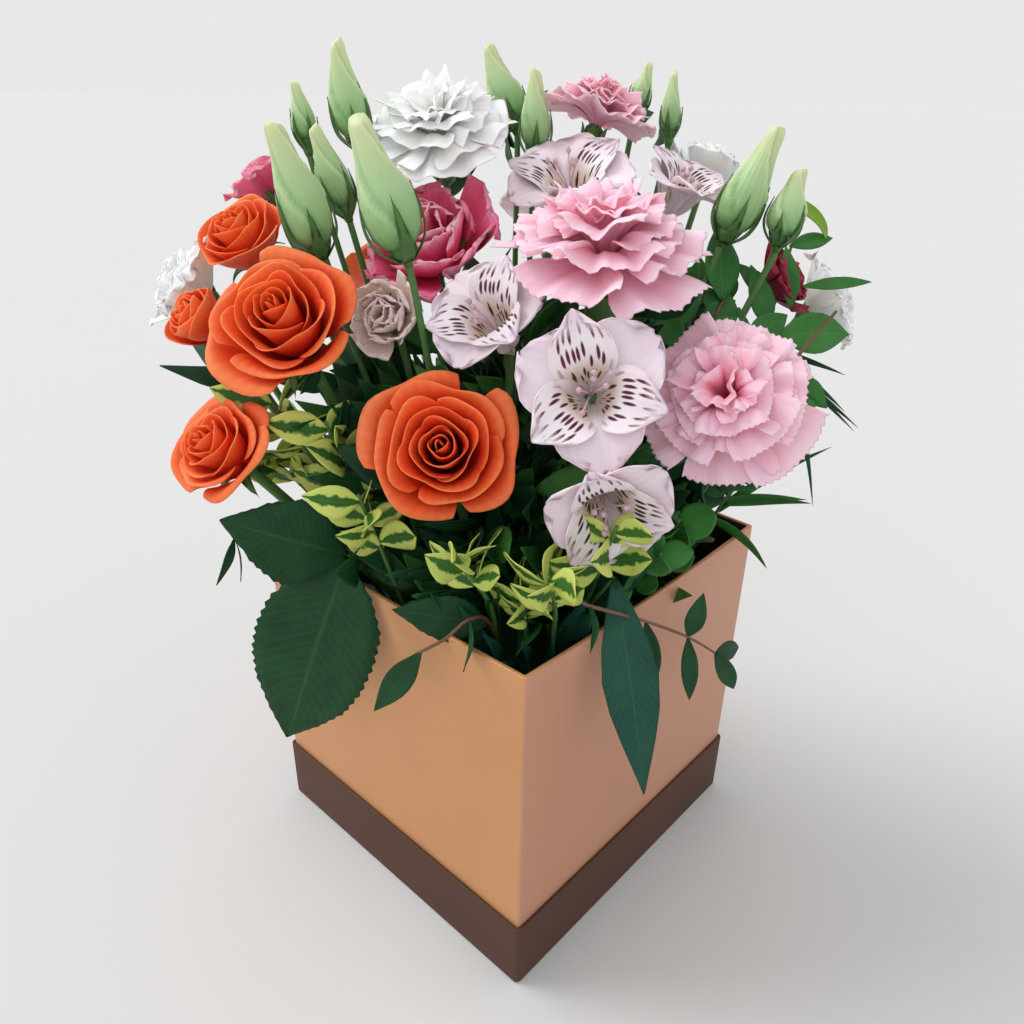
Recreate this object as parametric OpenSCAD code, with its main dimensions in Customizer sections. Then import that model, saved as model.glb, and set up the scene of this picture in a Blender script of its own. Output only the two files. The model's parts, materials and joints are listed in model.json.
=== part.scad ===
// Square cardboard flower box standing in its own upturned lid, with a waterproof
// liner, a block of wet floral foam and a hand-tied dome of cut flowers.
// Millimetres. The origin is the middle of the lid's underside, +Z is up, and the
// walls lie along X and Y.

/* [Box] */
// Outside length of one side of the box
box_side = 150; // [140:1:170]
// Height of the box from its base to its rim
box_h = 151; // [140:1:170]
// Thickness of the grey board that the box is folded from
board_t = 1.8; // [1.2:0.1:2.5]
// Thickness of the dark paper that lines the box
lining_t = 0.4; // [0.3:0.1:0.6]
// Radius of the upright edges of the box
box_edge_r = 0.9; // [0.5:0.1:2]

/* [Lid] */
// Height of the upturned lid
lid_h = 32; // [25:1:45]
// Thickness of the lid's board
lid_t = 1.2; // [1:0.1:2]
// Gap between the lid and the box on each side
lid_gap = 0.3; // [0.2:0.05:0.8]
// Radius of the upright edges of the lid
lid_edge_r = 1.8; // [1:0.1:3]

/* [Liner and foam] */
// Gap between the liner and the lined box on each side
liner_gap = 0.5; // [0.3:0.1:1.5]
// Thickness of the plastic liner
liner_t = 0.8; // [0.6:0.1:1.5]
// Height of the liner
liner_h = 104; // [90:1:112]
// Radius of the liner's upright edges
liner_edge_r = 5; // [2:0.5:8]
// Height of the foam block
foam_h = 117; // [110:1:120]
// Gap between the foam and the liner on each side
foam_gap = 0.4; // [0.2:0.1:1]

/* [Stems] */
// How far a stem is pushed into the foam, along the stem
stem_in = 40; // [30:1:50]
// Where a stem enters the foam, as a share of how far out its bloom is
stem_spread = 0.4; // [0.35:0.01:0.45]
// Radius of a rose stem
rose_stem_r = 2.0; // [1.6:0.1:2.2]
// Radius of a carnation stem
carnation_stem_r = 1.8; // [1.5:0.1:2.1]
// Radius of an alstroemeria stem
alstroemeria_stem_r = 1.8; // [1.5:0.1:2.1]
// Radius of a lisianthus stem, and of a bud's
lisianthus_stem_r = 1.4; // [1.1:0.1:1.6]
// Gap between a stem and the hole that it makes in the foam
stem_gap = 0.05; // [0.02:0.01:0.1]

/* [Leaves] */
// Thickness of a leaf
leaf_t = 0.7; // [0.5:0.1:1.2]
// Radius of a leafy twig
twig_r = 1.0; // [0.8:0.1:1.3]

/* [Hidden] */

$fn = 48;
hair = 0.01;                       // overrun that keeps a cut from ending on a face
rim_z = lid_t + box_h;
lid_side = box_side + 2 * (lid_gap + lid_t);
inner_side = box_side - 2 * board_t;
lining_z = lid_t + board_t;
liner_z = lining_z + lining_t;
liner_side = inner_side - 2 * (lining_t + liner_gap);
foam_z = liner_z + liner_t;
foam_side = liner_side - 2 * (liner_t + foam_gap);
foam_top = foam_z + foam_h;

// Blooms: [x, y, height above the rim, width, bearing it faces, tilt from upright, and how far
// its stem's foot is swung about the box's axis, so that stems pass each other]
rose_front_at = [-60, -22, 60, 48, -138, 60, 0];
rose_upper_left_at = [-83, 31, 98, 45, -145, 48, 0];
rose_far_left_at = [-66, 82, 118, 34, -170, 36, 0];
rose_bud_left_at = [-92, 76, 92, 24, 168, 50, 0];
rose_low_left_at = [-108, 42, 55, 34, -171, 46, 20];
rose_back_at = [20, 96, 96, 42, 80, 50, 0];
carnation_top_at = [5, -36, 119, 62, -150, 12, 0];
carnation_right_at = [14, -86, 76, 54, -162, 54, 18];
carnation_back_at = [66, 17, 160, 38, -10, 18, 0];
alstroemeria_front_at = [-27, -58, 81, 44, -144, 66, 0];
alstroemeria_low_at = [-33, -72, 47, 34, -132, 100, 14];
alstroemeria_left_at = [-29, -14, 97, 34, -171, 44, 0];
alstroemeria_top_at = [34, 4, 136, 38, -159, 26, 0];
alstroemeria_right_at = [68, -26, 135, 32, -85, 28, 0];
alstroemeria_back_at = [92, 62, 112, 42, 35, 50, 0];
lisianthus_white_top_at = [2, 44, 154, 48, -149, 26, 0];
lisianthus_white_left_at = [-78, 108, 100, 32, 146, 54, 0];
lisianthus_white_right_at = [112, -76, 92, 32, -54, 62, 0];
lisianthus_white_back_at = [106, -16, 142, 32, -20, 24, 0];
lisianthus_pink_at = [-17, 32, 118, 46, -156, 40, 0];
lisianthus_pink_back_at = [-40, 104, 136, 34, 120, 30, 0];
lisianthus_cream_at = [-46, 23, 95, 24, -152, 66, 0];
lisianthus_crimson_at = [86, -66, 104, 28, -74, 58, 0];

// Lisianthus buds: [x, y, height of the base above the rim, length, bearing it leans to, lean,
// width, swing of the stem's foot]
bud_tall_left_at = [-20, 67, 152, 33, 142, 12, 14, 0];
buds_small_left_at = [[-32, 83, 151, 20, 147, 6, 9, 0], [-46, 65, 128, 19, 140, 12, 10, 0]];
bud_pale_left_at = [-59, 43, 118, 42, 146, 15, 17, 0];
bud_mid_left_at = [-35, 58, 129, 29, 144, 18, 12, 0];
bud_front_at = [-53, 3, 122, 41, 142, 18, 18, 0];
bud_top_at = [47, 47, 158, 29, 136, 20, 14, 0];
bud_top_right_at = [43, 31, 148, 29, -37, 2, 12, 0];
buds_small_right_at = [[95, 18, 163, 18, -61, 12, 9, 0], [93, -1, 155, 22, 86, 1, 8, 0]];
bud_right_at = [59, -53, 123, 38, -66, 20, 16, 0];
bud_far_right_at = [66, -71, 123, 23, -71, 7, 13, 0];

// Share of a bloom's width between its middle and the flat where its calyx starts,
// and the height of that calyx as a share of the width
rose_drop = 0.36;
rose_calyx = 0.16;
carnation_drop = 0.12;
carnation_calyx = 0.4;
alstroemeria_drop = 0.4;
alstroemeria_calyx = 0.14;
lisianthus_drop = 0.3;
lisianthus_calyx = 0.14;
bud_calyx = 6;                     // height of the green cup under a bud
knuckle = 1.2;                     // radius of the knot where a stem bends, as a share of the stem's

// Outlines of half a bloom, turned about its axis: [radius, height] as shares of its width
rose_outline = [[0, -0.36], [0.14, -0.36], [0.34, -0.28], [0.46, -0.1], [0.5, 0.08],
  [0.42, 0.22], [0.24, 0.3], [0, 0.26]];
carnation_outline = [[0, -0.12], [0.09, -0.12], [0.36, -0.08], [0.5, 0.04], [0.46, 0.14],
  [0.3, 0.24], [0, 0.3]];
alstroemeria_outline = [[0, -0.4], [0.09, -0.4], [0.2, -0.26], [0.34, -0.04], [0.5, 0.14],
  [0.47, 0.18], [0.2, 0.1], [0, 0.06]];
lisianthus_outline = [[0, -0.3], [0.1, -0.3], [0.32, -0.22], [0.44, -0.02], [0.5, 0.16],
  [0.4, 0.24], [0.18, 0.22], [0, 0.18]];
bud_outline = [[0, 0], [0.28, 0], [0.46, 0.14], [0.5, 0.3], [0.4, 0.56], [0.22, 0.84],
  [0.16, 1], [0, 1]];

// Colours
rose_col = "#DD5A28";
carnation_col = "#F0BED0";
alstroemeria_col = "#E8D8E0";
white_col = "#ECEDE8";
pink_col = "#CC5078";
cream_col = "#EBC8C0";
crimson_col = "#8E1F35";
bud_col = "#A4C87C";
stem_col = "#3F7A3A";
rose_leaf_col = "#1F4A32";
euonymus_col = "#A8B850";
ruscus_col = "#3F8048";

// ---- geometry helpers ----
function middle(b) = [b.x, b.y, rim_z + b.z];
function along(bearing, tilt) = [sin(tilt) * cos(bearing), sin(tilt) * sin(bearing), cos(tilt)];
// Lower end of a bloom's calyx, which is the upper end of its stem
function neck(b, drop) = middle(b) - drop * b[3] * along(b[4], b[5]);
function bud_neck(b) = middle(b) - bud_calyx * along(b[4], b[5]);
// Point on the foam's top, turned about the box's axis
function turned(p, a) = [p.x * cos(a) - p.y * sin(a), p.x * sin(a) + p.y * cos(a), foam_top];
// Point where a stem enters the foam
function entry(b) = turned([b.x, b.y] * stem_spread, b[len(b) - 1]);
// Lower end of a stem, inside the foam
function foot(b, top) = entry(b) - stem_in * (top - entry(b)) / norm(top - entry(b));

// Straight round rod from point a to point b
module rod(a, b, r) {
  run = b - a;
  translate(a) rotate([0, acos(run.z / norm(run)), atan2(run.y, run.x)]) cylinder(r = r, h = norm(run));
}

// Puts children at a bloom's middle, with +Z along the way that it faces
module at_bloom(b) {
  translate(middle(b)) rotate([0, b[5], b[4]]) children();
}

// Upright square tube or block with rounded edges
module rounded_block(side, h, r) {
  linear_extrude(h) union() {
    square([side, side - 2 * r], center = true);
    square([side - 2 * r, side], center = true);
    for (x = [-1, 1], y = [-1, 1]) translate([x, y] * (side / 2 - r)) circle(r);
  }
}

// Square tray open at the top, standing on the level of its own floor
module tray(side, h, wall, r) {
  difference() {
    rounded_block(side, h, r);
    translate([0, 0, wall]) rounded_block(side - 2 * wall, h, max(r - wall, 0.2));
  }
}

// Petals of one bloom, as a closed solid of revolution
module petals(b, outline) {
  at_bloom(b) rotate_extrude() polygon(outline * b[3]);
}

// Closed bud, widest low down
module bud(b) {
  at_bloom(b) rotate_extrude() polygon([for (p = bud_outline) [p.x * b[6], p.y * b[3]]]);
}

// Stem with a cup-shaped calyx at its top
module stalk(b, drop, calyx, r) {
  top = neck(b, drop + calyx);
  rod(foot(b, top), top, r);
  translate(top) sphere(knuckle * r);
  at_bloom(b) translate([0, 0, -(drop + calyx) * b[3]])
    cylinder(r1 = r, r2 = 0.09 * b[3], h = calyx * b[3]);
}

module bud_stalk(b) {
  top = bud_neck(b);
  rod(foot(b, top), top, lisianthus_stem_r);
  translate(top) sphere(knuckle * lisianthus_stem_r);
  at_bloom(b) translate([0, 0, -bud_calyx])
    cylinder(r1 = lisianthus_stem_r, r2 = 0.27 * b[6], h = bud_calyx);
}

// Round hole from point a to point b, its seam turned away from the steepest side
module bore(a, b, r) {
  run = b - a;
  translate(a) rotate([0, acos(run.z / norm(run)), atan2(run.y, run.x)]) rotate([0, 0, 45])
    cylinder(r = r, h = norm(run));
}

// Hole that a stem makes in the foam
module stem_hole(b, top, r) {
  bore(foot(b, top), entry(b) + 5 * (top - entry(b)) / norm(top - entry(b)), r + stem_gap);
}

// Flat pointed leaf from the origin along +X, between two equal arcs
module leaf(l, w) {
  r = (l * l + w * w) / (4 * w);
  linear_extrude(leaf_t, center = true) translate([l / 2, 0]) intersection() {
    translate([0, r - w / 2]) circle(r, $fn = 200);
    translate([0, w / 2 - r]) circle(r, $fn = 200);
  }
}

// Leaf from point a to point b, rolled about its own length
module leaf_to(a, b, w, roll = 0) {
  run = b - a;
  translate(a) rotate([0, acos(run.z / norm(run)) - 90, atan2(run.y, run.x)]) rotate([roll, 0, 0])
    leaf(norm(run), w);
}

// Twig through a list of points, with round joints
module twig(points, r) {
  for (i = [1:len(points) - 1]) {
    rod(points[i - 1], points[i], r);
    translate(points[i]) sphere(knuckle * r);
  }
}

// Leaves spiralling round the stretch of a twig from point a to point b
module tuft(a, b, count, l, w) {
  for (i = [0:count - 1]) {
    at = a + (b - a) * i / count;
    leaf_to(at, at + l * along(i * 137.5, 62), w, 20);
  }
}

// Point at share f of the way along the last stretch of a twig
function up(route, f) = route[len(route) - 2] * (1 - f) + route[len(route) - 1] * f;

// ---- box ----
module base_lid() {
  color("#4A382F") tray(lid_side, lid_h, lid_t, lid_edge_r);
}

module box_shell() {
  color("#C08A66") translate([0, 0, lid_t]) tray(box_side, box_h, board_t, box_edge_r);
}

module box_lining() {
  color("#33201A") translate([0, 0, lining_z])
    tray(inner_side, rim_z - lining_z - 0.5, lining_t, 0.2);
}

module liner_tray() {
  color("#5A5A58") translate([0, 0, liner_z]) tray(liner_side, liner_h, liner_t, liner_edge_r);
}

// Foam block with a hole for every stem
module foam_block() {
  color("#2F6B45") difference() {
    translate([0, 0, foam_z]) rounded_block(foam_side, foam_h, liner_edge_r - liner_t);
    for (b = rose_rows) stem_hole(b, neck(b, rose_drop + rose_calyx), rose_stem_r);
    for (b = carnation_rows) stem_hole(b, neck(b, carnation_drop + carnation_calyx), carnation_stem_r);
    for (b = alstroemeria_rows)
      stem_hole(b, neck(b, alstroemeria_drop + alstroemeria_calyx), alstroemeria_stem_r);
    for (b = lisianthus_rows) stem_hole(b, neck(b, lisianthus_drop + lisianthus_calyx), lisianthus_stem_r);
    for (b = bud_rows) stem_hole(b, bud_neck(b), lisianthus_stem_r);
    for (points = twig_routes) bore(points[0], points[1], twig_r + stem_gap);
  }
}

// Rows of every bloom by kind, fixed ones and ones that are drawn out alike
rose_fixed = [rose_upper_left_at, rose_far_left_at, rose_bud_left_at, rose_back_at];
rose_rows = concat(rose_fixed, [rose_front_at, rose_low_left_at]);
carnation_fixed = [carnation_top_at, carnation_back_at];
carnation_rows = concat(carnation_fixed, [carnation_right_at]);
alstroemeria_rows = [alstroemeria_front_at, alstroemeria_low_at, alstroemeria_left_at,
  alstroemeria_top_at, alstroemeria_right_at, alstroemeria_back_at];
lisianthus_fixed = [lisianthus_white_top_at, lisianthus_white_right_at, lisianthus_white_back_at,
  lisianthus_pink_at, lisianthus_pink_back_at, lisianthus_cream_at, lisianthus_crimson_at];
lisianthus_rows = concat(lisianthus_fixed, [lisianthus_white_left_at]);
bud_fixed = concat(buds_small_left_at, buds_small_right_at,
  [bud_pale_left_at, bud_mid_left_at, bud_front_at, bud_top_at, bud_top_right_at, bud_far_right_at]);
bud_rows = concat(bud_fixed, [bud_tall_left_at, bud_right_at]);

// Twigs: the first two points lie in the foam and at its top, the rest above it
rose_leaf_route = [[-38, 12, foam_top - 30], [-46, 14, foam_top + 1], [-64, 14, 158], [-80, 10, 166]];
rim_left_route = [[-42, -34, foam_top - 30], [-46, -38, foam_top + 1], [-60, -44, 152], [-72, -46, 160],
  [-80, -42, 154], [-85, -31, 144]];
euonymus_left_route = [[-54, -1, foam_top - 30], [-58, -1, foam_top + 1], [-82, -2, 196]];
euonymus_front_route = [[-40, -46, foam_top - 30], [-44, -50, foam_top + 1], [-55, -56, 166]];
long_leaf_route = [[-24, -50, foam_top - 30], [-26, -54, foam_top + 1], [-31, -68, 155], [-34, -82, 157]];
rim_right_route = [[-8, -44, foam_top - 30], [-12, -50, foam_top + 1], [-44, -70, 166], [-50, -80, 171],
  [-24, -86, 155], [-1, -91, 139], [13, -96, 127]];
ruscus_route = [[44, -44, foam_top - 30], [48, -50, foam_top + 1], [56, -84, 222], [74, -94, 250]];
boxwood_route = [[24, -46, foam_top - 30], [25, -50, foam_top + 1], [21, -72, 170]];
grass_route = [[58, -44, foam_top - 30], [60, -48, foam_top + 1], [62, -68, 170]];
twig_routes = [rose_leaf_route, rim_left_route, euonymus_left_route, euonymus_front_route,
  long_leaf_route, rim_right_route, ruscus_route, boxwood_route, grass_route];

// ---- blooms ----
module rose_front() { color(rose_col) petals(rose_front_at, rose_outline); }
module rose_upper_left() { color(rose_col) petals(rose_upper_left_at, rose_outline); }
module rose_far_left() { color(rose_col) petals(rose_far_left_at, rose_outline); }
module rose_bud_left() { color(rose_col) petals(rose_bud_left_at, rose_outline); }
module rose_low_left() { color(rose_col) petals(rose_low_left_at, rose_outline); }
module rose_back() { color(rose_col) petals(rose_back_at, rose_outline); }
module carnation_top() { color(carnation_col) petals(carnation_top_at, carnation_outline); }
module carnation_right() { color(carnation_col) petals(carnation_right_at, carnation_outline); }
module carnation_back() { color(carnation_col) petals(carnation_back_at, carnation_outline); }
module alstroemeria_front() {
  color(alstroemeria_col) petals(alstroemeria_front_at, alstroemeria_outline);
}
module alstroemeria_low() { color(alstroemeria_col) petals(alstroemeria_low_at, alstroemeria_outline); }
module alstroemeria_left() {
  color(alstroemeria_col) petals(alstroemeria_left_at, alstroemeria_outline);
}
module alstroemeria_top() { color(alstroemeria_col) petals(alstroemeria_top_at, alstroemeria_outline); }
module alstroemeria_right() {
  color(alstroemeria_col) petals(alstroemeria_right_at, alstroemeria_outline);
}
module alstroemeria_back() {
  color(alstroemeria_col) petals(alstroemeria_back_at, alstroemeria_outline);
}
module lisianthus_white_top() { color(white_col) petals(lisianthus_white_top_at, lisianthus_outline); }
module lisianthus_white_left() { color(white_col) petals(lisianthus_white_left_at, lisianthus_outline); }
module lisianthus_white_right() {
  color(white_col) petals(lisianthus_white_right_at, lisianthus_outline);
}
module lisianthus_white_back() { color(white_col) petals(lisianthus_white_back_at, lisianthus_outline); }
module lisianthus_pink() { color(pink_col) petals(lisianthus_pink_at, lisianthus_outline); }
module lisianthus_pink_back() { color(pink_col) petals(lisianthus_pink_back_at, lisianthus_outline); }
module lisianthus_cream() { color(cream_col) petals(lisianthus_cream_at, lisianthus_outline); }
module lisianthus_crimson() { color(crimson_col) petals(lisianthus_crimson_at, lisianthus_outline); }

// ---- buds ----
module bud_tall_left() { color(bud_col) bud(bud_tall_left_at); }
module buds_small_left() { color(bud_col) for (b = buds_small_left_at) bud(b); }
module bud_pale_left() { color(bud_col) bud(bud_pale_left_at); }
module bud_mid_left() { color(bud_col) bud(bud_mid_left_at); }
module bud_front() { color(bud_col) bud(bud_front_at); }
module bud_top() { color(bud_col) bud(bud_top_at); }
module bud_top_right() { color(bud_col) bud(bud_top_right_at); }
module buds_small_right() { color(bud_col) for (b = buds_small_right_at) bud(b); }
module bud_right() { color(bud_col) bud(bud_right_at); }
module bud_far_right() { color(bud_col) bud(bud_far_right_at); }

// ---- stems ----
module rose_stalk(b) { color(stem_col) stalk(b, rose_drop, rose_calyx, rose_stem_r); }
module lisianthus_stalk(b) {
  color(stem_col) stalk(b, lisianthus_drop, lisianthus_calyx, lisianthus_stem_r);
}
module carnation_stalk(b) { color(stem_col) stalk(b, carnation_drop, carnation_calyx, carnation_stem_r); }
module rose_stems() { for (b = rose_fixed) rose_stalk(b); }
module carnation_stems() { for (b = carnation_fixed) carnation_stalk(b); }
module alstroemeria_stems() {
  color(stem_col) for (b = alstroemeria_rows)
    stalk(b, alstroemeria_drop, alstroemeria_calyx, alstroemeria_stem_r);
}
module lisianthus_stems() { for (b = lisianthus_fixed) lisianthus_stalk(b); }
module bud_stems() { color(stem_col) for (b = bud_fixed) bud_stalk(b); }
module rose_front_stem() { rose_stalk(rose_front_at); }
module rose_low_left_stem() { rose_stalk(rose_low_left_at); }
module carnation_right_stem() { carnation_stalk(carnation_right_at); }
module lisianthus_white_left_stem() { lisianthus_stalk(lisianthus_white_left_at); }
module bud_tall_left_stem() { color(stem_col) bud_stalk(bud_tall_left_at); }
module bud_right_stem() { color(stem_col) bud_stalk(bud_right_at); }

// ---- greens ----
// Rose leaf standing out to the left, and one hanging outside the left wall
module rose_leaves_left() {
  color(rose_leaf_col) {
    twig(rose_leaf_route, twig_r);
    leaf_to(rose_leaf_route[3], [-116, 30, 186], 24, 15);
    leaf_to(rose_leaf_route[3], [-108, 22, 88], 36, 0);
  }
}

// Thin twig over the left rim with one small leaf, and a broad leaf lying on the rim
module rim_sprig_left() {
  color(rose_leaf_col) {
    twig(rim_left_route, 0.9 * twig_r);
    leaf_to(up(rim_left_route, 0.7), [-97, -22, 121], 10, 70);
    leaf_to(rim_left_route[2], [-88, -25, 167], 18, 14);
  }
}

module euonymus_left() {
  color(euonymus_col) {
    twig(euonymus_left_route, twig_r);
    tuft(up(euonymus_left_route, 0.45), up(euonymus_left_route, 0.75), 5, 17, 8);
    tuft(up(euonymus_left_route, 0.85), up(euonymus_left_route, 0.99), 4, 16, 8);
  }
}

module euonymus_front() {
  color(euonymus_col) {
    twig(euonymus_front_route, twig_r);
    tuft(up(euonymus_front_route, 0.75), up(euonymus_front_route, 0.99), 5, 17, 8);
  }
}

// Long narrow leaf hanging outside the front wall
module long_leaf_front() {
  color(rose_leaf_col) {
    twig(long_leaf_route, twig_r);
    leaf_to(long_leaf_route[3], [-38, -106, 96], 17, 0);
  }
}

// Thin twig along the front wall with small hanging leaves
module rim_sprig_right() {
  color(rose_leaf_col) {
    twig(rim_right_route, 0.7 * twig_r);
    leaf_to(rim_right_route[6], [30, -98, 122], 6, 0);
    leaf_to(rim_right_route[6], [26, -101, 104], 7, 0);
    leaf_to(rim_right_route[5], [-2, -96, 112], 6, 0);
    leaf_to(rim_right_route[4], [-22, -92, 130], 6, 0);
    leaf_to(rim_right_route[5], [5, -92, 156], 6, 0);
  }
}

module ruscus_right() {
  color(ruscus_col) {
    twig(ruscus_route, twig_r);
    leaf_to([54, -76, 202], [66, -98, 226], 10, 20);
    leaf_to([56, -84, 222], [50, -96, 244], 9, 20);
    leaf_to([62, -88, 232], [90, -98, 240], 11, -20);
    leaf_to([68, -91, 241], [64, -102, 262], 9, 20);
    leaf_to([74, -94, 250], [96, -100, 262], 8, 0);
  }
}

module boxwood_right() {
  color(ruscus_col) {
    twig(boxwood_route, twig_r);
    tuft(up(boxwood_route, 0.7), up(boxwood_route, 0.99), 6, 12, 9);
  }
}

module grass_right() {
  color(ruscus_col) {
    twig(grass_route, twig_r);
    leaf_to(up(grass_route, 0.8), [92, -104, 190], 4, 30);
    leaf_to(up(grass_route, 0.88), [70, -108, 176], 4, 40);
    leaf_to(up(grass_route, 0.96), [98, -84, 206], 4, 60);
  }
}

base_lid();
box_shell();
box_lining();
liner_tray();
foam_block();
rose_front();
rose_upper_left();
rose_far_left();
rose_bud_left();
rose_low_left();
rose_back();
carnation_top();
carnation_right();
carnation_back();
alstroemeria_front();
alstroemeria_low();
alstroemeria_left();
alstroemeria_top();
alstroemeria_right();
alstroemeria_back();
lisianthus_white_top();
lisianthus_white_left();
lisianthus_white_right();
lisianthus_white_back();
lisianthus_pink();
lisianthus_pink_back();
lisianthus_cream();
lisianthus_crimson();
bud_tall_left();
buds_small_left();
bud_pale_left();
bud_mid_left();
bud_front();
bud_top();
bud_top_right();
buds_small_right();
bud_right();
bud_far_right();
rose_stems();
carnation_stems();
alstroemeria_stems();
lisianthus_stems();
bud_stems();
rose_front_stem();
rose_low_left_stem();
carnation_right_stem();
lisianthus_white_left_stem();
bud_tall_left_stem();
bud_right_stem();
rose_leaves_left();
rim_sprig_left();
euonymus_left();
euonymus_front();
long_leaf_front();
rim_sprig_right();
ruscus_right();
boxwood_right();
grass_right();
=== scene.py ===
import json
import math
import bmesh
import bpy
import numpy as np
from mathutils import Matrix, Vector


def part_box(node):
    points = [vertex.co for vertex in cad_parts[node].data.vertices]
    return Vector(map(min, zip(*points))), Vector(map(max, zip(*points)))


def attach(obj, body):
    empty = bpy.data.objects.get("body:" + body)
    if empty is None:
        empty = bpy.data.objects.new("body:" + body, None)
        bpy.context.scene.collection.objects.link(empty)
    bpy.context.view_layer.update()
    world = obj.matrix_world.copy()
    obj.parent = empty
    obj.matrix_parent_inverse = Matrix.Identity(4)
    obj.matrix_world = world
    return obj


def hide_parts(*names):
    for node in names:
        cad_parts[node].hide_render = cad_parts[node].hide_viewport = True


# Square copper flower box in its upturned lid, filled with roses, carnations,
# alstroemeria, lisianthus and greens. Metres, +Z up.

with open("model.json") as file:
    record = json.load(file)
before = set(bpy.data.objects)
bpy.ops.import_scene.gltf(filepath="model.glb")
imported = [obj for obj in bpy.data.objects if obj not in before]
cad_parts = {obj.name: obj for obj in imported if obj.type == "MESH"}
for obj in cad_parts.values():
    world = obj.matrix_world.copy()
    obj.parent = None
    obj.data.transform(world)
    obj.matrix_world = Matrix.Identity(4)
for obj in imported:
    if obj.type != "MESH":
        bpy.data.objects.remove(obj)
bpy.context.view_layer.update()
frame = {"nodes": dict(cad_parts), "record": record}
# the turn from one petal or leaf to the next in degrees, and a petal's thickness in metres
golden = 137.5
hair = 0.0004


def boxOf(node):
    low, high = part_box(node)
    return np.array(low, float), np.array(high, float)


def facing(bearing, tilt):
    # unit vector at a compass bearing and a tilt from upright, both in degrees
    b, t = math.radians(bearing), math.radians(tilt)
    return np.array([math.sin(t) * math.cos(b), math.sin(t) * math.sin(b), math.cos(t)])


def turnTo(axis, spin=0.0):
    # 3x3 whose third column is the axis, turned by spin degrees about it
    z = np.asarray(axis, float) / np.linalg.norm(axis)
    side = np.array([0, 0, 1.0]) if abs(z[2]) < 0.95 else np.array([1.0, 0, 0])
    x = np.cross(side, z)
    x /= np.linalg.norm(x)
    y = np.cross(z, x)
    a = math.radians(spin)
    return np.stack([x * math.cos(a) + y * math.sin(a), y * math.cos(a) - x * math.sin(a), z], axis=1)


def unit(v):
    return v / np.maximum(np.linalg.norm(v, axis=-1, keepdims=True), 1e-9)


def smooth(a, b, x):
    # soft step from 0 at a to 1 at b
    t = np.clip((x - a) / (b - a), 0, 1)
    return t * t * (3 - 2 * t)


def gridOf(across, along):
    # the two coordinates of every point of an (n, m) grid
    return np.meshgrid(across, along, indexing="ij")


def quadsOf(grid):
    # the four corners of each cell of an (n, m) grid, in order round the cell
    return np.stack([grid[:-1, :-1], grid[1:, :-1], grid[1:, 1:], grid[:-1, 1:]], axis=2)


def shell(sheet, thick=hair):
    # both sides of a thin sheet: each point moved half the thickness along the surface normal, thinning
    # to nothing at its foot and its tip, and joined round both long edges
    p = sheet["p"]
    across, along = np.gradient(p, axis=0), np.gradient(p, axis=1)
    normal = unit(np.cross(across, along))
    m = p.shape[1]
    taper = np.clip(np.minimum(np.arange(m), np.arange(m)[::-1]), 0, 1)[None, :, None]
    move = normal * taper * thick / 2
    u = np.linspace(0, 1, len(p))
    tone = np.broadcast_to(np.asarray(sheet.get("tone", 0.5), float), p.shape[:2])
    return {"p": np.concatenate([p + move, (p - move)[::-1]]), "wrap": True,
            "across": np.concatenate([u, u[::-1]]),
            "tone": np.concatenate([tone, tone[::-1]]), "mark": sheet.get("mark", 0.0)}


def addPiece(name, sheets, material, body, replaces=(), more=()):
    # joins (u, v) grids into one mesh; a sheet is points (n, m, 3) with a tone for each, closed round u
    # if it wraps; points that coincide are merged, so poles and seams are closed
    points, faces, uvs, tones, marks, kinds = ([] for _ in range(6))
    start = 0
    for s in sheets:
        p = s["p"]
        n, m = p.shape[:2]
        ids = start + np.arange(n * m).reshape(n, m)
        u = s.get("across", np.linspace(0, 1, n))
        if s.get("wrap"):
            ids = np.concatenate([ids, ids[:1]], axis=0)
            u = np.append(u, u[0] if "across" in s else 1 + u[1])
        quads = quadsOf(ids).reshape(-1, 4)
        points.append(p.reshape(-1, 3))
        faces.append(quads)
        uvs.append(quadsOf(np.stack(gridOf(u, np.linspace(0, 1, m)), axis=-1)).reshape(-1, 2))
        tones.append(np.broadcast_to(np.asarray(s.get("tone", 0.5), float), (n, m)).reshape(-1))
        marks.append(np.full(n * m, float(s.get("mark", 0.0))))
        kinds.append(np.full(len(quads), s.get("kind", 0)))
        start += n * m
    points, faces, uvs = np.concatenate(points), np.concatenate(faces), np.concatenate(uvs)
    mesh = bpy.data.meshes.new(name)
    mesh.from_pydata(points.tolist(), [], faces.tolist())
    mesh.uv_layers.new(name="own").data.foreach_set("uv", uvs.ravel().astype(np.float32))
    for key, values in (("tone", tones), ("mark", marks)):
        mesh.attributes.new(key, "FLOAT", "POINT").data.foreach_set("value",
                                                                    np.concatenate(values).astype(np.float32))
    mesh.polygons.foreach_set("use_smooth", np.ones(len(faces), bool))
    for m in (material, *more):
        mesh.materials.append(m)
    mesh.polygons.foreach_set("material_index", np.concatenate(kinds).astype(np.int32))
    work = bmesh.new()
    work.from_mesh(mesh)
    bmesh.ops.remove_doubles(work, verts=work.verts, dist=1e-6)
    work.to_mesh(mesh)
    work.free()
    mesh.update()
    piece = bpy.data.objects.new(name, mesh)
    bpy.context.collection.objects.link(piece)
    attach(piece, body)
    if replaces:
        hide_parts(*replaces)
    return piece


def placed(sheets, centre, turn):
    # the same sheets carried from a bloom's own frame to the world
    for s in sheets:
        s["p"] = s["p"] @ turn.T + centre
    return sheets


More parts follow.
